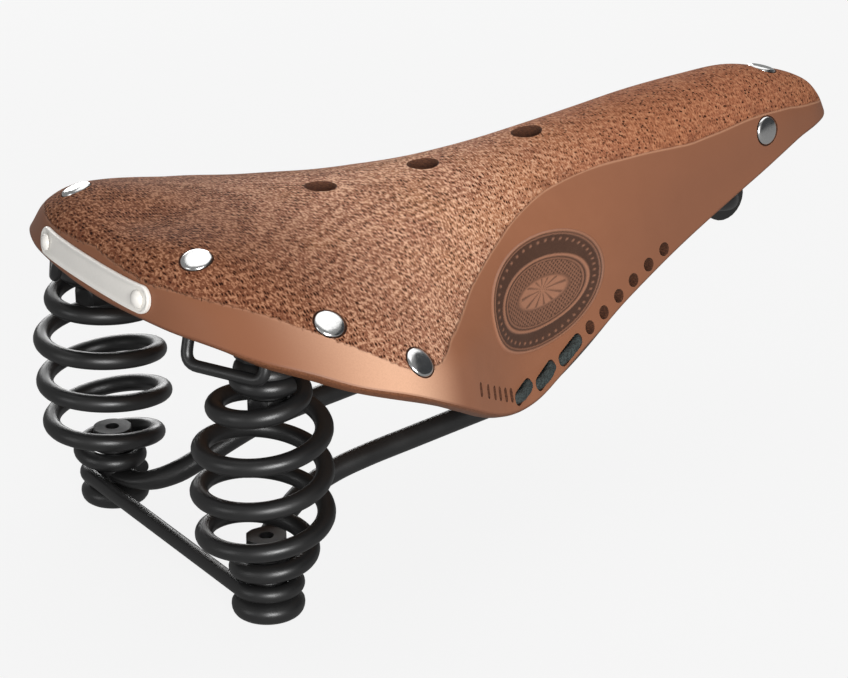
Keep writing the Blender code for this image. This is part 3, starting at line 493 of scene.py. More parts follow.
def leather_material():
    g = Graph("saddle_leather")
    band, mix, noise, plus, times = g.band, g.mix, g.noise, g.plus, g.times
    rest = g.attribute("rest", 1)
    grain, rim, inner = g.attribute("grain"), g.attribute("rim"), g.attribute("inner")
    along = g.node("ShaderNodeSeparateXYZ", Vector=rest)
    front = band(along, 75.0, 165.0)
    wide = noise(rest, 0.035)
    middle = noise(rest, 0.13, 4.0, 0.6)
    ragged = noise(rest, 0.55, 3.0, 0.65)
    fine = noise(rest, 2.4, 3.0, 0.6)
    spread = band(along, 10.0, 60.0, 3.4, 1.1)
    shifted = plus(grain, times(g.minus(ragged, 0.5), spread))
    smooth = band(shifted, -0.55, 0.35)
    top = g.minus(1.0, smooth)

    warp = g.node("ShaderNodeTexNoise", 1, Vector=rest, Scale=0.5, Detail=1.0)
    bent = g.node("ShaderNodeVectorMath", 0, {"operation": "MULTIPLY_ADD"})
    g.put(warp, bent.node.inputs[0])
    g.put((0.9, 0.9, 0.9), bent.node.inputs[1])
    g.put(rest, bent.node.inputs[2])
    stretch = g.node("ShaderNodeMapping", Vector=bent, Rotation=(0.0, 0.0, 0.20), Scale=(1.22, 0.36, 0.8))
    cell = g.node("ShaderNodeTexVoronoi", 0, {"feature": "F1"}, Vector=stretch, Scale=1.0, Randomness=0.48)
    sparkle = noise(g.node("ShaderNodeMapping", Vector=rest, Scale=(1.0, 0.6, 1.0)), 1.3, 2.0, 0.6)
    uneven = noise(rest, 0.45, 2.0)
    # Painted shade: dark ticks in the gaps between pebbles, and small pits near the nose, as shadows in these
    # recesses
    gap = band(plus(cell, times(g.minus(uneven, 0.5), 0.45)), 0.18, 0.34, 1.0, 0.0)
    pit = g.node("ShaderNodeTexVoronoi", 0, {"feature": "F1"}, Vector=rest, Scale=0.62, Randomness=1.0)
    pit = band(pit, 0.16, 0.29, 1.0, 0.0)
    pit = times(pit, band(middle, 0.36, 0.5))
    rear_share = g.minus(1.0, times(front, 0.5))
    gap_shade_part = times(gap, rear_share)
    pit_part = times(pit, plus(0.1, times(front, 0.9)))
    dark = g.math("MAXIMUM", gap_shade_part, pit_part)
    # Painted highlight: the crests of the pebbles are lightened as if light caught them
    crest_highlight = times(band(cell, 0.36, 0.60), band(sparkle, 0.40, 0.60))
    crest_highlight = times(crest_highlight, g.minus(1.0, times(front, 0.4)))
    # Painted shade: specks darkened where the sparkle noise is low, opposite the painted crest highlights
    shade = band(sparkle, 0.32, 0.46, 0.5, 0.0)

    tan = mix(band(middle, 0.3, 0.7), (0.325, 0.134, 0.078), (0.415, 0.178, 0.105))
    tan = g.tint(tan, band(wide, 0.44, 0.68), 0.5, (0.50, 0.230, 0.110))
    tan = g.tint(tan, front, 0.8, (0.30, 0.102, 0.047))
    # Painted shade: the top is darkened towards the rear, and on the far side (y above 0) from the middle
    # back, where less light falls
    far_side_shade = band(along.node.outputs[1], 0.0, 32.0)
    back = g.math("MAXIMUM", band(along, 58.0, -8.0), times(far_side_shade, band(along, 130.0, 80.0, 0.0, 0.8)))
    tan = g.tint(tan, back, 0.78, (0.100, 0.027, 0.009))
    # The painted shade specks laid over the base colour
    colour = mix(shade, tan, (0.15, 0.058, 0.034))
    # Colour of the painted highlight on the crests, darkened at the rear and far side by the painted shade
    highlight_colour = mix(front, (0.82, 0.51, 0.34), (0.56, 0.27, 0.145))
    highlight_colour = g.tint(highlight_colour, back, 0.75, (0.31, 0.112, 0.045))
    colour = g.tint(colour, crest_highlight, 0.9, highlight_colour)
    # Painted shade in the pebble gaps and pits
    colour = g.tint(colour, dark, 0.96, (0.022, 0.007, 0.004))
    near = times(band(shifted, -5.5, -0.8), band(noise(rest, 0.22, 4.0), 0.46, 0.62))
    colour = g.tint(colour, near, 0.5, (0.15, 0.048, 0.026))

    skirt = mix(middle, (0.268, 0.108, 0.055), (0.31, 0.128, 0.067))
    # Painted highlight: the skirt is lightened round the rear corner, where a sheen falls
    skirt = g.tint(skirt, band(along, 50.0, 24.0), 0.95, (0.72, 0.42, 0.275))
    # Painted shade: the skirt is darkened towards the nose, where less light and sheen reach it
    skirt = g.tint(skirt, band(along, 95.0, 175.0), 0.6, (0.19, 0.080, 0.046))
    # Painted shade: the skirt's rear band is darkened where it turns away from the light
    skirt = g.tint(skirt, band(along, 26.0, -14.0), 0.95, (0.215, 0.080, 0.038))
    skirt = g.tint(skirt, band(fine, 0.35, 0.7), 0.12, (0.24, 0.09, 0.05))
    colour = mix(smooth, colour, skirt)
    line = times(band(grain, -0.25, 0.1), band(grain, 0.75, 0.25))
    line = times(line, band(along, 20.0, 70.0, 0.15, 0.4))
    colour = mix(line, colour, (0.62, 0.33, 0.2))

    border = times(band(rim, 1.3, 0.35), 0.42)
    colour = mix(border, colour, (0.14, 0.05, 0.028))
    raw = mix(band(fine, 0.3, 0.7), (0.20, 0.078, 0.036), (0.11, 0.040, 0.018))
    colour = mix(band(rim, -0.15, -0.45), colour, raw)
    suede = mix(middle, (0.30, 0.16, 0.09), (0.38, 0.22, 0.13))
    colour = mix(inner, colour, suede)

    pebbles = times(band(cell, 0.0, 0.3), times(rear_share, 0.5))
    pebbles = plus(pebbles, times(sparkle, 0.3))
    relief = g.minus(pebbles, times(pit_part, 0.16))
    relief = plus(relief, times(fine, 0.13))
    relief = plus(relief, times(ragged, 0.18))
    relief = times(relief, top)
    relief = plus(relief, times(smooth, plus(0.06, times(fine, 0.016))))
    rough = mix(smooth, (0.8, 0.8, 0.8), (0.44, 0.44, 0.44))
    rough = mix(inner, rough, (0.9, 0.9, 0.9))
    gloss = band(smooth, 0.0, 1.0, 0.06, 0.2)
    return g.set(Base_Color=colour, Roughness=rough, Normal=g.bump(relief), Specular_IOR_Level=gloss)


def raw_leather():
    g = Graph("raw_leather")
    place = g.local()
    fibre = g.noise(g.node("ShaderNodeMapping", Vector=place, Scale=(1.0, 1.0, 4.0)), 1.1, 4.0, 0.65)
    colour = g.mix(g.band(fibre, 0.35, 0.7), (0.055, 0.017, 0.007), (0.15, 0.052, 0.021))
    return g.set(Base_Color=colour, Roughness=0.85, Normal=g.bump(g.times(fibre, 0.35)))


def stamp_leather():
    """Pressed oval: `ink` is how dark each point is, from the field's full tone to the skirt's own colour."""
    g = Graph("stamped_leather")
    rest, ink = g.attribute("rest", 1), g.attribute("ink")
    middle, fine = g.noise(rest, 0.13, 4.0, 0.6), g.noise(rest, 2.4, 3.0, 0.6)
    skirt = g.mix(middle, (0.268, 0.108, 0.055), (0.31, 0.128, 0.067))
    along = g.node("ShaderNodeSeparateXYZ", Vector=rest)
    # Painted shade towards the nose, as on the hide's skirt
    skirt = g.tint(skirt, g.band(along, 95.0, 175.0), 0.6, (0.19, 0.080, 0.046))
    pressed = g.mix(middle, (0.056, 0.024, 0.014), (0.080, 0.037, 0.022))
    skirt = g.tint(skirt, g.band(ink, -0.7, -0.2), 0.5, (0.43, 0.205, 0.125))
    ink = g.math("ADD", ink, g.times(g.minus(fine, 0.5), 0.35), True)
    colour = g.mix(ink, skirt, pressed)
    return g.set(Base_Color=colour, Roughness=0.5, Normal=g.bump(g.times(fine, 0.03)))


def coated_steel():
    g = Graph("satin_black_steel")
    place = g.local()
    soft = g.noise(place, 0.08)
    colour = g.mix(soft, (0.00935, 0.00946, 0.0099), (0.01375, 0.01342, 0.0132))
    rough = g.band(soft, 0.3, 0.7, 0.34, 0.44)
    relief = g.times(g.noise(place, 1.6, 2.0), 0.003)
    return g.set(Base_Color=colour, Roughness=rough, Normal=g.bump(relief), Specular_IOR_Level=0.62)


def bright_metal(name, colour, roughness, relief=0.004, metal=1.0):
    g = Graph(name)
    place = g.local()
    scuff = g.noise(place, 0.9, 4.0, 0.6)
    rough = g.band(scuff, 0.35, 0.7, roughness * 0.85, roughness * 1.3)
    return g.set(
        Base_Color=g.mix(scuff, colour, tuple(c * 0.93 for c in colour)), Metallic=metal, Roughness=rough,
        Normal=g.bump(g.times(scuff, relief)),
    )


def cord_material():
    g = Graph("braided_cord")
    place = g.local()
    strand = g.noise(place, 1.5, 4.0, 0.75)
    soft = g.noise(place, 0.35, 2.0)
    colour = g.mix(g.band(strand, 0.3, 0.72), (0.005, 0.008, 0.008), (0.060, 0.080, 0.078))
    colour = g.tint(colour, soft, 0.25, (0.03, 0.03, 0.025))
    return g.set(Base_Color=colour, Roughness=0.8, Normal=g.bump(g.times(strand, 0.3)))


LEATHER = leather_material()
RAW = raw_leather()
STAMPED = stamp_leather()
BLACK = coated_steel()
NICKEL = bright_metal("bright_nickel", (0.88, 0.88, 0.87), 0.2)
BADGE = bright_metal("badge_nickel", (0.90, 0.87, 0.82), 0.34, 0.01, 0.12)
ZINC = bright_metal("zinc_plate", (0.55, 0.56, 0.57), 0.32)
CORD = cord_material()

# Hide


EDGE_RADIUS = 1.2


def hide_grid():
    """Points of one half of the hide in rows across it, and three notes for each.

    The notes: how far the point is past the pebbles, how far in from the cut edge, and whether it is inside.
    """
    ribs = np.linspace(0.0, LAST, LAST * 8 + 1)
    inside = np.linspace(0.0, 1.0, 33)
    outside = np.linspace(1.0, 2.0, 35)[1:]
    across = np.concatenate([inside, outside])
    count, wide = len(ribs), len(across)
    t = np.repeat(ribs, wide)
    near_edge = surface(ribs, np.full(count, 1.97))
    speed = norm(surface(ribs, np.full(count, 2.0)) - near_edge, axis=1) / 0.03
    radius = EDGE_RADIUS
    stop = 2.0 - radius / speed
    s = np.tile(across, count).reshape(count, wide)
    s = np.where(s > 1.0, 1.0 + (s - 1.0) * (stop[:, None] - 1.0), s)
    outer = surface(t, s.ravel()).reshape(count, wide, 3)
    normal = tangents(t, s.ravel())[2].reshape(count, wide, 3)
    _, down, out = tangents(ribs, stop)

    def turned(base, steps):
        angles = [math.radians(90.0 * k / 4) for k in steps]
        return [base + down * radius * math.sin(a) - out * radius * (1 - math.cos(a)) for a in angles]

    corner = outer[:, -1]
    rows = turned(corner, (1, 2, 3, 4))
    rows += [rows[3] - out * (THICK - 2 * radius) * k / 2 for k in (1, 2)]
    rows += turned(corner - out * (THICK - radius), (3, 2, 1, 0))
    rims = [0.1] + [-1.0] * (len(rows) - 1)
    pick = range(wide - 4, -1, -3)
    inner = (outer - normal * THICK)[:, pick]
    sheet = np.hstack([outer, np.stack(rows, 1), inner])
    total = sheet.shape[1]
    gap = s - boundary(t).reshape(count, wide)
    step = norm(np.gradient(outer, axis=1), axis=2)
    ds = np.maximum(np.gradient(s, axis=1), 1e-6)
    grain = np.clip(gap * step / ds, -40, 60)
    away = (stop[:, None] - s) * speed[:, None] + radius
    rim_note = np.hstack([away, np.tile(rims, (count, 1)), np.full((count, len(pick)), 30.0)])
    grain_note = np.hstack([grain, np.tile(grain[:, -1:], (1, total - wide))])
    inner_note = np.hstack([np.zeros((count, wide + len(rows))), np.ones((count, len(pick)))])
    return sheet, grain_note, rim_note, inner_note


def weld_halves(sheet, notes):
    """Points, faces and notes of both halves, welded along the centre line and at the two end ribs."""
    count, total, _ = sheet.shape
    on_line = np.zeros((count, total), bool)
    on_line[:, 0] = on_line[:, -1] = True
    on_line[0] = on_line[-1] = True
    left = np.arange(count * total).reshape(count, total)
    right = np.where(on_line, left, -1)
    free = ~on_line
    right[free] = count * total + np.arange(free.sum())
    first = sheet.copy()
    first[on_line, 1] = 0.0
    second = first[free] * np.array([1, -1, 1])
    points = np.vstack([first.reshape(-1, 3), second])
    faces = []
    for side, index in ((1, left), (-1, right)):
        a, b = index[:-1, :-1].ravel(), index[1:, :-1].ravel()
        c, d = index[1:, 1:].ravel(), index[:-1, 1:].ravel()
        faces.append(np.stack([a, b, c, d], 1)[:, ::side])
    faces = np.vstack(faces)
    merged = [np.concatenate([n.reshape(-1), n[free]]) for n in notes]
    return points, faces, merged


# Cutter profiles, radius and height: a rivet's seat, a vent and an open hole
SEAT = [(0, 4), (5.5, 4), (5.25, 0.25), (5.0, -0.3), (4.9, -1.3), (0, -1.3)]
VENT = [(0, 8), (6.7, 8), (5.3, 0.45), (4.75, -0.4), (4.5, -1.2), (4.5, -8), (0, -8)]
HOLE = [(0, 3), (2.8, 3), (2.25, 0.15), (2.02, -0.45), (1.95, -8), (0, -8)]
VENTS_X = (49.5, 86.0, 124.5)
# Places on the hide: rib, and place on it
REAR_RIVETS = ((3.06, 0.79), (6.31, 0.91), (8.36, 1.05))
LACED = ((12.75, 1.92), (13.42, 1.885), (13.98, 1.925), (14.68, 1.905), (15.22, 1.93), (15.98, 1.92))
OPEN = ((16.55, 1.92), (17.18, 1.92), (17.81, 1.918), (18.37, 1.914), (18.9, 1.908), (19.44, 1.902))
SLITS = ((10.56, 1.761), (11.0, 1.796), (11.39, 1.821), (11.72, 1.84), (12.07, 1.862), (12.4, 1.88))


def place_on(t, s, side=1):
    """(point, normal, down) at one place of the hide."""
    t, s = np.ravel(t).astype(float), np.ravel(s).astype(float)
    _, down, out = tangents(t, s)
    flip = np.array([1, side, 1])
    return surface(t, s)[0] * flip, out[0] * flip, down[0] * flip


def all_rivets():
    """(name, point, outward axis) of each rivet through the hide."""
    made = []
    for side, word in SIDES:
        for number, (t, s) in enumerate(REAR_RIVETS, 1):
            point, out, _ = place_on(t, s, side)
            made.append((f"rear_rivet_{word}_{number}", point, out))
        point, out, _ = place_on(*find_on_hide((205.6, 99.9), (0, 2), 23.0, 1.35), side)
        made.append((f"nose_rivet_{word}", point, out))
    point, out, _ = place_on(24.6, 0.0)
    made.append(("nose_rivet_top", point, out))
    return made


RIVETS = all_rivets()


def capsule(point, out, long_way, half, radius, depth, steps, taper):
    """A slot cutter: a round-ended bar `half` to each side along `long_way`, standing 3 mm above the face."""
    long_way = long_way - out * np.dot(long_way, out)
    long_way = long_way / norm(long_way)
    cross = np.cross(out, long_way)
    turn = np.linspace(-math.pi / 2, math.pi / 2, steps + 1)
    u, v = half + radius * np.cos(turn), radius * np.sin(turn)
    u, v = np.concatenate([u, -u])[:, None], np.concatenate([v, -v])[:, None]
    outline = long_way * u + cross * v
    count = len(outline)
    points = np.vstack([point + out * 3.0 + outline, point - out * depth + outline * taper])
    faces = [tuple(range(count)), tuple(range(2 * count - 1, count - 1, -1))]
    for i in range(count):
        j = (i + 1) % count
        faces.append((i, count + i, count + j, j))
    return points, faces


def hide_cutters():
    """Two sets of cutters, none touching in a set: seats, vents, holes and slits, then the lace's slots."""
    first, second = [], []
    for _, point, out in RIVETS:
        first.append(revolve(SEAT, point, out, 40))
    for x in VENTS_X:
        t, _ = find_on_hide((x, 0.05), (0, 1), 12.0, 0.005)
        point, out, _ = place_on(t, 0.0)
        first.append(revolve(VENT, point, out, 48))
    for side in (1, -1):
        for t, s in OPEN:
            point, out, _ = place_on(t, s, side)
            first.append(revolve(HOLE, point, out, 28))
        for t, s in SLITS:
            point, out, down = place_on(t, s, side)
            first.append(capsule(point, out, down - (0, 0, 0.4), 1.35, 1.22, 1.6, 8, 0.8))
        for a, b in zip(LACED[::2], LACED[1::2]):
            pa, out_a, _ = place_on(*a, side)
            pb, out_b, _ = place_on(*b, side)
            out = out_a + out_b
            out /= norm(out)
            half = norm(pb - pa) / 2
            second.append(capsule((pa + pb) / 2, out, pb - pa, half - 0.25, 2.3, 8.5, 12, 0.97))
    return [join(first), join(second)]


def cut(obj, cutter):
    step = obj.modifiers.new("cut", "BOOLEAN")
    step.operation = "DIFFERENCE"
    step.solver = "EXACT"
    step.object = cutter
    graph = bpy.context.evaluated_depsgraph_get()
    made = bpy.data.meshes.new_from_object(obj.evaluated_get(graph))
    obj.modifiers.clear()
    old = obj.data
    obj.data = made
    bpy.data.meshes.remove(old)
    bpy.data.objects.remove(cutter, do_unlink=True)


def note(mesh, name, values):
    """Stores one number or one vector for each point."""
    kind, key = ("FLOAT", "value") if values.ndim == 1 else ("FLOAT_VECTOR", "vector")
    mesh.attributes.new(name, kind, "POINT").data.foreach_set(key, values.astype(np.float32).ravel())


def build_hide():
    sheet, *notes = hide_grid()
    points, faces, notes = weld_halves(sheet, notes)
    if sign_of(points, faces[: len(faces) // 2]) < 0:
        faces = faces[:, ::-1]
    obj = new_mesh("hide", points, faces, LEATHER)
    obj.data.materials.append(RAW)
    for number, (cut_points, cut_faces) in enumerate(hide_cutters()):
        cutter = new_mesh(f"cutter_{number}", cut_points, cut_faces, LEATHER)
        cutter.data.materials.append(RAW)
        for face in cutter.data.polygons:
            face.material_index = 1
        cut(obj, cutter)
    annotate(obj, points, notes)
    return obj


def annotate(obj, points, notes):
    """Gives each point of the cut mesh its resting place and the notes of the nearest points of the grid."""
    tree = kdtree.KDTree(len(points))
    for i, p in enumerate(at(points)):
        tree.insert(p, i)
    tree.balance()
    mesh = obj.data
    count = len(mesh.vertices)
    where = np.empty(count * 3)
    mesh.vertices.foreach_get("co", where)
    where = where.reshape(-1, 3)
    values = np.zeros((3, count))
    stacked = np.array(notes)
    for i, p in enumerate(where.tolist()):
        found = tree.find_n(p, 3)
        weight = np.array([1.0 / (d + 1e-7) for _, _, d in found])
        index = [k for _, k, _ in found]
        values[:, i] = (stacked[:, index] * weight).sum(1) / weight.sum()
    for name, value in zip(("grain", "rim", "inner"), values):
        note(mesh, name, value)
    note(mesh, "rest", where * 1000 + CLAMP)
    mesh.shade_smooth()
    mesh.set_sharp_from_angle(angle=math.radians(42))


hide = build_hide()
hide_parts("leather_top")
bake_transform(hide)

# Pressed ovals on the skirts

STAMP_X, STAMP_Z = 102.9, 74.4
STAMP_LONG, STAMP_HIGH = 28.7, 15.8


def ridge_at(value, centre, half):
    """1 on a line at `centre`, falling to 0 at `half` to each side."""
    return np.clip(1.0 - np.abs(value - centre) / half, 0.0, 1.0) ** 0.6


def stamp(side, word):
    us = np.arange(-STAMP_LONG * 1.06, STAMP_LONG * 1.06 + 0.1, 0.3)
    vs = np.arange(-STAMP_HIGH * 1.08, STAMP_HIGH * 1.08 + 0.1, 0.27)
    u, v = [a.ravel() for a in np.meshgrid(us, vs, indexing="ij")]
    tilt = math.radians(-1.5)
    v_low = np.where(v > 0, v * 0.93, v)
    x = STAMP_X + u * math.cos(tilt) - v_low * math.sin(tilt)
    x += 0.10 * v_low + 0.019 * np.maximum(v_low, 0) ** 2
    z = STAMP_Z + u * math.sin(tilt) + v_low * math.cos(tilt)
    t, s = find_on_hide(np.stack([x, z], 1), (0, 2), 15.0, 1.5)
    radius = np.hypot(u / STAMP_LONG, v / STAMP_HIGH)
    angle = np.arctan2(v / STAMP_HIGH, u / STAMP_LONG)
    borders = np.maximum(ridge_at(radius, 0.975, 0.02), 0.8 * ridge_at(radius, 0.93, 0.014))
    panel_v = v + 0.6
    panel = np.hypot(u / (STAMP_LONG * 0.74), panel_v / (STAMP_HIGH * 0.6))
    frame_line = np.maximum(ridge_at(panel, 1.0, 0.05), 0.7 * ridge_at(panel, 0.9, 0.028))
    beads = np.clip(np.cos(angle * 46) * 1.4 - 0.3, 0, 1) * ridge_at(radius, 0.845, 0.03) * (panel > 1.08)
    lines = np.maximum(
        ridge_at(np.mod(u + v * 1.25, 1.7), 0.85, 0.42), ridge_at(np.mod(u - v * 1.25, 1.7), 0.85, 0.42)
    )
    lattice = lines * (panel < 0.86)
    rosette = np.hypot(u / 12.0, panel_v / 3.9)
    boss = np.clip(1.15 - rosette, 0, 0.25) * 4
    spokes = np.clip(np.cos(angle * 12) * 2.0 - 0.9, 0, 1) * (rosette < 0.92)
    lattice = lattice * (1 - np.clip(boss * 3, 0, 1))
    inside = np.clip((1.0 - radius) / 0.02, 0, 1)
    lift = 0.12 + 0.34 * borders + 0.28 * frame_line + 0.24 * beads
    lift += 0.13 * lattice + 0.2 * boss + 0.1 * spokes
    skin = np.clip((1.035 - radius) / 0.035, 0, 1)
    lift = np.where(radius > 1.0, -0.3 + 0.42 * skin, lift)
    ink = np.clip(1.0 - 0.9 * borders - frame_line - 0.75 * beads - 0.7 * lattice - 0.9 * boss, 0.0, 1.0)
    ink = (ink + 0.6 * spokes * (boss > 0.2)) * inside - (1 - inside)
    points = on_hide(t, s, lift, side)
    high = len(vs)
    keep = radius < 1.045
    faces = []
    for i in range(len(us) - 1):
        for j in range(high - 1):
            quad = (i * high + j + 1, (i + 1) * high + j + 1, (i + 1) * high + j, i * high + j)
            if keep[list(quad)].all():
                faces.append(quad[::side])
    used, faces = np.unique(faces, return_inverse=True)
    points = points[used]
    obj = new_mesh(f"stamp_{word}", points, faces.reshape(-1, 4), STAMPED, 180.0)
    note(obj.data, "ink", ink[used])
    note(obj.data, "rest", points)
    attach(obj, "seat")


for side, word in SIDES:
    stamp(side, word)

# Turned steel and nickel pieces


def piece(name, parts, material, body, node, angle=35.0):
    """One piece made of (points, faces) parts, riding on a body in place of a CAD node."""
    obj = new_mesh(name, *join(parts), material, angle)
    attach(obj, body)
    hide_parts(node)


# Profiles are (radius, height) points
DOME = [(0, 0.62), (1.2, 0.6), (2.3, 0.53), (3.3, 0.4), (3.9, 0.22), (4.3, 0.0), (4.5, -0.3)]
DOME += [(4.55, -0.6), (2.0, -0.6), (2.0, -8.0), (0, -8.0)]
for name, point, out in RIVETS:
    body = "nose" if name.startswith("nose") else "seat"
    piece(name + "_dome", [revolve(DOME, point, out, 48)], NICKEL, body, name)

SPRING_HEAD_X, SPRING_HEAD_Y, SPRING_FOOT_Y = -1.0, 52.3, 47.2


def hexagon(across, bore, height, chamfer=0.7):
    """Profile of a hexagonal nut, each radius running round the flats."""
    angle = np.linspace(0, 2 * math.pi, 72, endpoint=False)
    flat = across / 2 / np.cos(np.mod(angle, math.pi / 3) - math.pi / 6)
    worn = np.minimum(flat, across / 2 * 1.02)
    half = height / 2
    upper = [(bore, half), (worn, half), (flat, half - chamfer)]
    return upper + [(radius, -z) for radius, z in upper[::-1]]


def threads(radius, low, high, pitch=0.9):
    """The wavy side of a threaded shank, from high to low."""
    made = []
    z = high
    while z > low + pitch:
        made += [(radius, z), (radius - 0.28, z - pitch / 2)]
        z -= pitch
    return [*made, (radius, z)]


def steel(name, ending, body, *parts):
    """A black steel piece in place of the CAD node of this name."""
    piece(f"{name}_{ending}", parts, BLACK, body, name)


for side, word in SIDES:
    head = (SPRING_HEAD_X, SPRING_HEAD_Y * side, 0)
    foot = (0, SPRING_FOOT_Y * side, 0)
    bolt = [(0, 89.2), (1.4, 89.12), (2.7, 88.85), (4.0, 88.3), (5.2, 87.4), (6.0, 86.3), (6.0, 85.9)]
    bolt += [(3.0, 85.9), (3.0, 70.0), *threads(3.0, 64.3, 69.5), (2.5, 64.0), (0, 64.0)]
    steel(f"upper_bolt_{word}", "turned", "seat", revolve(bolt, head))
    cup = [(5.9, 82.5), (7.1, 82.0), (8.2, 81.1), (9.2, 79.9), (9.5, 78.9), (9.5, 78.3), (9.3, 78.2)]
    cup += [(3.3, 78.2), (3.3, 82.5)]
    steel(f"cup_washer_{word}", "turned", "seat", revolve(cup, head, ring=True))
    washer = [(6.05, 71.9), (6.2, 71.7), (6.2, 71.1), (6.05, 70.9), (3.3, 70.9), (3.3, 71.9)]
    steel(f"upper_washer_{word}", "turned", "seat", revolve(washer, head, ring=True))
    nut = revolve(hexagon(11.4, 3.3, 5.2), (*head[:2], 67.9), steps=72, ring=True)
    steel(f"upper_nut_{word}", "hex", "seat", nut)
    bolt = revolve(hexagon(11.6, 2.2, 5.4), (*foot[:2], 21.6), steps=72, ring=True)
    stem = [(0, 22.4), (2.2, 22.4), (3.0, 21.0), (3.0, 2.4), (0, 2.4)]
    steel(f"lower_bolt_{word}", "hex", "frame", bolt, revolve(stem, foot))
    washer = [(6.5, 18.6), (6.7, 18.4), (6.7, 17.8), (6.5, 17.6), (3.3, 17.6), (3.3, 18.6)]
    steel(f"lower_washer_{word}", "turned", "frame", revolve(washer, foot, ring=True))
    cap = [(0, 1.9), (3.3, 1.9), (3.3, 6.6), (5.2, 6.6), (6.6, 6.45), (8.0, 6.1), (9.1, 5.55), (10.0, 4.8)]
    cap += [(10.6, 3.9), (10.7, 3.1), (10.6, 2.2), (10.3, 1.3), (9.8, 0.6), (9.2, 0.15), (8.6, 0.0), (0, 0.0)]
    steel(f"spring_cap_{word}", "turned", "frame", revolve(cap, foot, steps=64))

# Springs

WIRE_RADIUS = 2.7


def spring_path(side):
    turns = (0.1, 0.5, 0.75, 1, 1.25, 1.5, 2, 2.5, 3, 3.5, 4, 4.5, 5, 5.25, 5.5, 6.05)
    radii = (8, 8, 8.5, 10.3, 12.4, 14.3, 17.2, 17.7, 17.9, 18.1, 18.1, 17.4, 12.8, 10.2, 8.2, 7.3)
    highs = (75.2, 75.2, 74.6, 71.6, 68.8, 66, 60, 53, 46.2, 39.4, 32.6, 25.9, 19.4, 17, 15.2, 14.6)
    foot = np.array([0.0, SPRING_FOOT_Y, 14.6])
    head = np.array([SPRING_HEAD_X, SPRING_HEAD_Y, 75.2])
    lean = (head - foot) / norm(head - foot)
    n = np.linspace(turns[0], turns[-1], 480)
    kernel = np.hanning(23)
    kernel /= kernel.sum()
    rows = [np.pad(np.interp(n, turns, row), 11, mode="edge") for row in (radii, highs)]
    radius, high = [np.convolve(row, kernel, "valid") for row in rows]
    share = (high - foot[2]) / (head[2] - foot[2])
    centre = foot + (head - foot) * share[:, None]
    inside = np.sin(math.pi * np.clip(share, 0, 1))
    centre[:, :2] += np.array([-1.0, -0.9]) * inside[:, None]
    angle = math.radians(33.0) + 2 * math.pi * n
    flat = np.stack([np.cos(angle) * radius, np.sin(angle) * radius, np.zeros(len(n))], 1)
    tilt = np.clip((radius - 9.0) / 6.0, 0.0, 1.0)
    flat[:, 2] -= tilt * (flat[:, 0] * lean[0] + flat[:, 1] * lean[1]) / lean[2]
    return (centre + flat) * np.array([1, side, 1])


for side, word in SIDES:
    path = spring_path(side)
    obj = new_mesh(f"coil_{word}", *sweep(path, WIRE_RADIUS, 20), BLACK)
    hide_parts(f"spring_{word}")
    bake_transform(obj)

# Rods: crossbar, rails and bag loops

BAR_RADIUS = 2.4
HOOK_RADIUS = 8.4
hook = []
for degree in range(20, -181, -5):
    angle = math.radians(degree)
    hook.append((HOOK_RADIUS * math.cos(angle), -SPRING_FOOT_Y + HOOK_RADIUS * math.sin(angle), 9.3))
straight = [(-HOOK_RADIUS, y, 9.3) for y in np.linspace(-42, 42, 22)]
bar = hook + straight + [(x, -y, z) for x, y, z in hook[::-1]]
piece("crossbar_rod", [sweep(bar, BAR_RADIUS)], BLACK, "frame", "rear_crossbar")

RAIL_RADIUS = 3.5
half = [
    (0, 46, 9.3), (0.3, 41.5, 9.3), (2, 36.8, 9.3), (6, 32, 10.2), (12, 27.8, 12.9), (19, 24.8, 16.9),
    (28, 22.6, 21.6), (38, 22, 25), (50, 22, 27.2), (66, 22, 29), (84, 22, 31),
    (100, 22, 32.8), (110, 22, 34.6), (118, 21.7, 38), (128, 20.6, 43.8), (139, 18.8, 50.8),
    (158, 15.6, 63.6), (170, 13.9, 71.2), (180, 12.9, 75.8), (188, 12.3, 77.3),
    (194.5, 11.2, 76.3), (198.6, 8.6, 75), (200, 5.8, 74.5),
]
flat_end = [(4.2, 2.2), (4.1, 2.2), (3.8, 2.5), (RAIL_RADIUS, 3.2)]
sizes = flat_end + [(RAIL_RADIUS, RAIL_RADIUS)] * (len(half) - 4)
rail = half + [(x, -y, z) for x, y, z in half[::-1]]
sizes = np.array(sizes + sizes[::-1])
per = 6
rail_path = smooth_path(rail, per)
steps = np.arange(len(rail_path)) / per
sizes = np.stack([np.interp(steps, np.arange(len(rail)), sizes[:, k]) for k in (0, 1)], 1)
eye = [(5.3, 2.2), (5.6, 2.1), (5.7, 1.8), (5.7, -1.8), (5.6, -2.1), (5.3, -2.2), (3.3, -2.2), (3.3, 2.2)]
eyes = [revolve(eye, (0, SPRING_FOOT_Y * side, 9.3), ring=True) for side in (1, -1)]
piece("rail_rod", [sweep(rail_path, sizes), *eyes], BLACK, "frame", "rails")

LOOP_RADIUS = 1.75
for side, word in SIDES:
    top_a, top_b = np.array([-15.6, 38.4, 97.2]), np.array([-6.4, 61.9, 87.6])
    low_a, low_b = np.array([-20.0, 40.0, 80.1]), np.array([-8.0, 63.2, 79.4])
    path = [top_a]
    for corner, before, after in ((low_a, top_a, low_b), (low_b, low_a, top_b)):
        a, b = (before - corner) / norm(before - corner), (after - corner) / norm(after - corner)
        for w in np.linspace(0, 1, 10):
            path.append(corner + a * 4.2 * (1 - w) ** 2 + b * 4.2 * w**2)
    path = resample(np.array([*path, top_b]), 1.0) * np.array([1, side, 1])
    loop = sweep(path, LOOP_RADIUS, 20, (0.9, 0.4 * side, 0.1))
    steel(f"bag_loop_{word}", "rod", "seat", loop)

# Badge

BADGE_HALF, BADGE_HIGH, BADGE_Z = 32.6, 4.1, 97.0


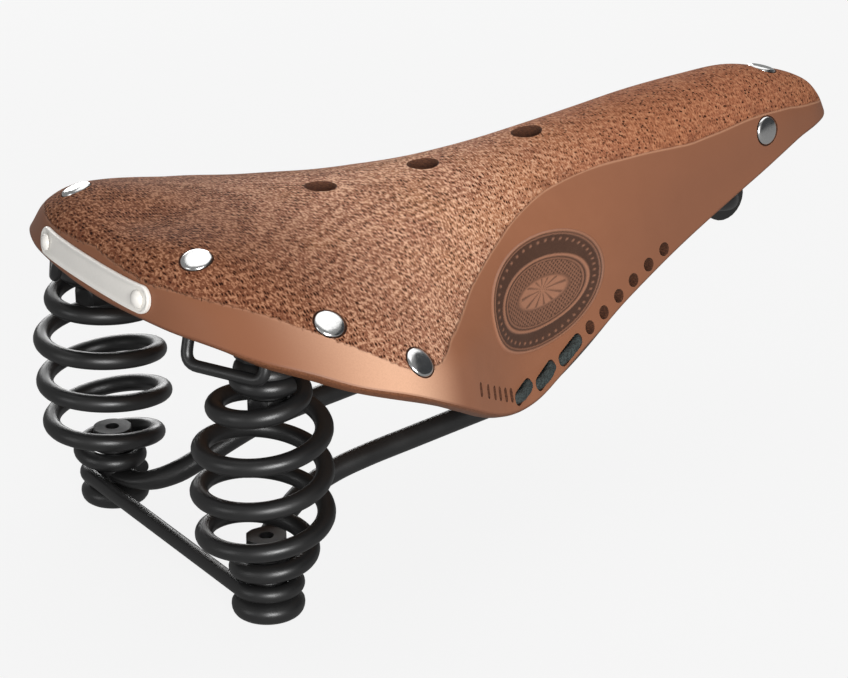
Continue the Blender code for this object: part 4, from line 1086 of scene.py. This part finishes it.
def badge():
    along = np.sin(np.linspace(-1, 1, 141) * math.pi / 2) * (BADGE_HALF - 0.02)
    share = np.array([-1, -0.985, -0.95, -0.9, -0.84, -0.78, -0.72, -0.5, -0.25, 0])
    share = np.concatenate([share, -share[-2::-1]])
    count, rows = len(along), len(share)
    past = np.maximum(np.abs(along) - (BADGE_HALF - BADGE_HIGH), 0.0)
    high = np.sqrt(np.maximum(BADGE_HIGH**2 - past**2, 0.0004))
    y = np.repeat(along, rows)
    h = (high[:, None] * share[None, :]).ravel()
    t, s = find_on_hide(np.stack([np.abs(y), BADGE_Z + h * 0.98], 1), (1, 2), 1.2, 1.45)
    inset = BADGE_HIGH - np.hypot(np.repeat(past, rows), h)
    rim = np.clip((1.0 - inset) / 0.25, 0, 1) * np.clip((inset + 0.05) / 0.22, 0.25, 1)
    lift = 1.05 + 0.42 * rim + 0.1 * np.clip(inset / BADGE_HIGH, 0, 1)
    side = np.where(y >= 0, 1.0, -1.0)
    layer = count * rows
    faces = []
    for c in range(count - 1):
        for j in range(rows - 1):
            a, b, d, e = c * rows + j, (c + 1) * rows + j, (c + 1) * rows + j + 1, c * rows + j + 1
            faces.append((a, b, d, e))
            faces.append((layer + e, layer + d, layer + b, layer + a))
        a, b = c * rows, (c + 1) * rows
        faces.append((a, layer + a, layer + b, b))
        a, b = a + rows - 1, b + rows - 1
        faces.append((b, layer + b, layer + a, a))
    for c, turn in ((0, 1), (count - 1, -1)):
        for j in range(rows - 1):
            a, e = c * rows + j, c * rows + j + 1
            faces.append((a, e, layer + e, layer + a)[::turn])
    points = np.vstack([on_hide(t, s, lift, side), on_hide(t, s, 0.15, side)])
    return points, outward(points, faces)


piece("badge_pill", [badge()], BADGE, "seat", "badge_plate", angle=50.0)
for side, word in SIDES:
    point, out, _ = place_on(*find_on_hide((27.8, BADGE_Z), (1, 2), 2.1, 1.5), side)
    pin = [(0, 2.75), (0.7, 2.7), (1.4, 2.5), (2.0, 2.15), (2.4, 1.7), (2.55, 1.3), (1.1, 1.3)]
    pin += [(1.1, -4.6), (0, -4.6)]
    pin = revolve(pin, point, out, 32)
    piece(f"badge_rivet_{word}_dome", [pin], BADGE, "seat", f"badge_rivet_{word}")

# Lace

LACE_RADIUS = 1.68


def stitch(first, second, side):
    """Out of one hole, along the slot and in at the next."""
    a, b = np.array(LACED[first - 1]), np.array(LACED[second - 1])
    ends = [[on_hide(*hole, lift, side)[0] for lift in (-THICK - 2.2, -2.6, -0.35)] for hole in (a, b)]
    middle = on_hide(*(a + b) / 2, 0.5, side)[0]
    return [*ends[0], middle, *ends[1][::-1]]


def crossing(start, end, rise):
    """Across from skirt to skirt, `rise` above or below the straight line halfway."""
    made = []
    for share in (0.05, 0.5, 0.95):
        point = start + (end - start) * share
        point[2] += rise if share == 0.5 else rise * 0.2
        made.append(point)
    return made


route = stitch(1, 2, -1)
# The later stitches: first and second hole, side, and how far the cord rises on its way across
STITCHES = ((3, 4, 1, -2.0), (5, 6, -1, -2.0), (6, 5, 1, 0.0), (4, 3, -1, 2.0), (2, 1, 1, 2.0))
for first, second, side, rise in STITCHES:
    run = stitch(first, second, side)
    route += crossing(route[-1], run[0], rise) + run
knot_at = (route[0] + route[-1]) / 2 + np.array([-3.0, 0.0, -1.0])
leads = [route[0] * 0.92 + knot_at * 0.08, route[-1] * 0.92 + knot_at * 0.08]
route = [knot_at - (0, 1.0, 0), leads[0], *route, leads[1], knot_at + (0, 1.0, 0)]


def braided(path, radius, sides=20, step=0.4):
    """A woven cord: two families of strands wind round it against each other."""
    path = resample(smooth_path(path, 8), step)
    along = np.arange(len(path))[:, None] * step
    around = np.linspace(0, 2 * math.pi, sides, endpoint=False)[None, :]
    turn = 2 * math.pi / 3.4
    weave = np.maximum(np.cos(4 * around + along * turn), np.cos(4 * around - along * turn))
    return sweep(path, radius * 0.92, sides, shape=1.0 + 0.1 * weave)


tails = []
for side in (1, -1):
    tail = np.array([(0, 0.8, -0.5), (-2.5, 3.5, -3), (-5, 5, -7)]) * (1, side, 1)
    tails.append(braided(knot_at + tail, 1.4))
ball = [(0, 3.2), (1.0, 3.1), (1.9, 2.8), (2.8, 2.2), (3.3, 1.6), (3.7, 0)]
ball += [(3.3, -1.6), (2.8, -2.2), (1.9, -2.8), (0, -3.2)]
knot = revolve(ball, knot_at, (0.2, 0.9, 0.1), 24)
cord = [braided(route, LACE_RADIUS), knot, *tails]
piece("braided_lace", cord, CORD, "seat", "lace", angle=60.0)

# CAD pieces that stay as they are, in better materials

for name in ("cantle_plate", "nose_piece", "shackle", "tension_bolt", "tension_nut"):
    for place in NODES[name].material_slots:
        place.material = ZINC if name.startswith("tension") else BLACK

# Floor and light

FLOOR_HALF = 4.0
PALE = (0.913, 0.913, 0.913)
SEEN_GLOW, HIDDEN_GLOW, GLOSSY_LOSS = 0.955, 0.5, 0.28


def card(name, corners):
    """A flat four-cornered piece of the stage, in metres."""
    mesh = bpy.data.meshes.new(name)
    mesh.from_pydata(corners, [], [(0, 1, 2, 3)])
    obj = add(name, mesh)
    return obj


def floor():
    corners = [(x * FLOOR_HALF, y * FLOOR_HALF, FLOOR_Z) for x, y in ((-1, -1), (1, -1), (1, 1), (-1, 1))]
    obj = card("floor", corners)
    g = Graph("pale_floor")
    matt = g.node("ShaderNodeBsdfDiffuse", Color=(0.05, 0.05, 0.05))
    seen = g.node("ShaderNodeLightPath")
    mirrored = g.times(seen.node.outputs["Is Glossy Ray"], GLOSSY_LOSS)
    strength = g.minus(g.band(seen, 0.0, 1.0, HIDDEN_GLOW, SEEN_GLOW), mirrored)
    glow = g.node("ShaderNodeEmission", Color=PALE, Strength=strength)
    both = g.node("ShaderNodeAddShader")
    g.tree.links.new(matt, both.node.inputs[0])
    g.tree.links.new(glow, both.node.inputs[1])
    g.tree.links.new(both, g.tree.nodes["Material Output"].inputs[0])
    obj.data.materials.append(g.material)


def light(name, where, size, power, target=(0.03, 0.0, 0.04)):
    data = bpy.data.lights.new(name, "AREA")
    data.shape = "RECTANGLE"
    data.size, data.size_y = size
    data.energy = power
    obj = add(name, data)
    obj.location = where
    obj.rotation_euler = (Vector(target) - Vector(where)).to_track_quat("-Z", "Y").to_euler()


def flag():
    """A dark card beyond the nose, seen only in reflections."""
    (x0, y0), (x1, y1) = (0.8, -1.9), (1.45, 0.35)
    low, high = -0.02, 1.2
    obj = card("dark_card", [(x0, y0, low), (x1, y1, low), (x1, y1, high), (x0, y0, high)])
    obj.visible_camera = obj.visible_diffuse = obj.visible_shadow = False
    obj.data.materials.append(Graph("dark_card").set(Base_Color=(0.03, 0.033, 0.037), Roughness=0.9))


def world():
    made = bpy.data.worlds.new("studio")
    made.use_nodes = True
    back = made.node_tree.nodes["Background"]
    back.inputs["Color"].default_value = (*PALE, 1.0)
    back.inputs["Strength"].default_value = 0.25
    SCENE.world = made


floor()
world()
flag()
# Each light's place and size in metres and its power in watts
light("key", (-0.40, -1.15, 0.36), (0.55, 0.5), 16.0)
light("top", (0.38, 0.34, 1.15), (1.55, 1.75), 9.0)
light("rim", (0.5, 1.1, 0.3), (0.8, 0.4), 6.0, (0.15, 0.0, 0.06))
light("side", (-1.25, 0.0, 0.3), (0.5, 0.5), 1.5)
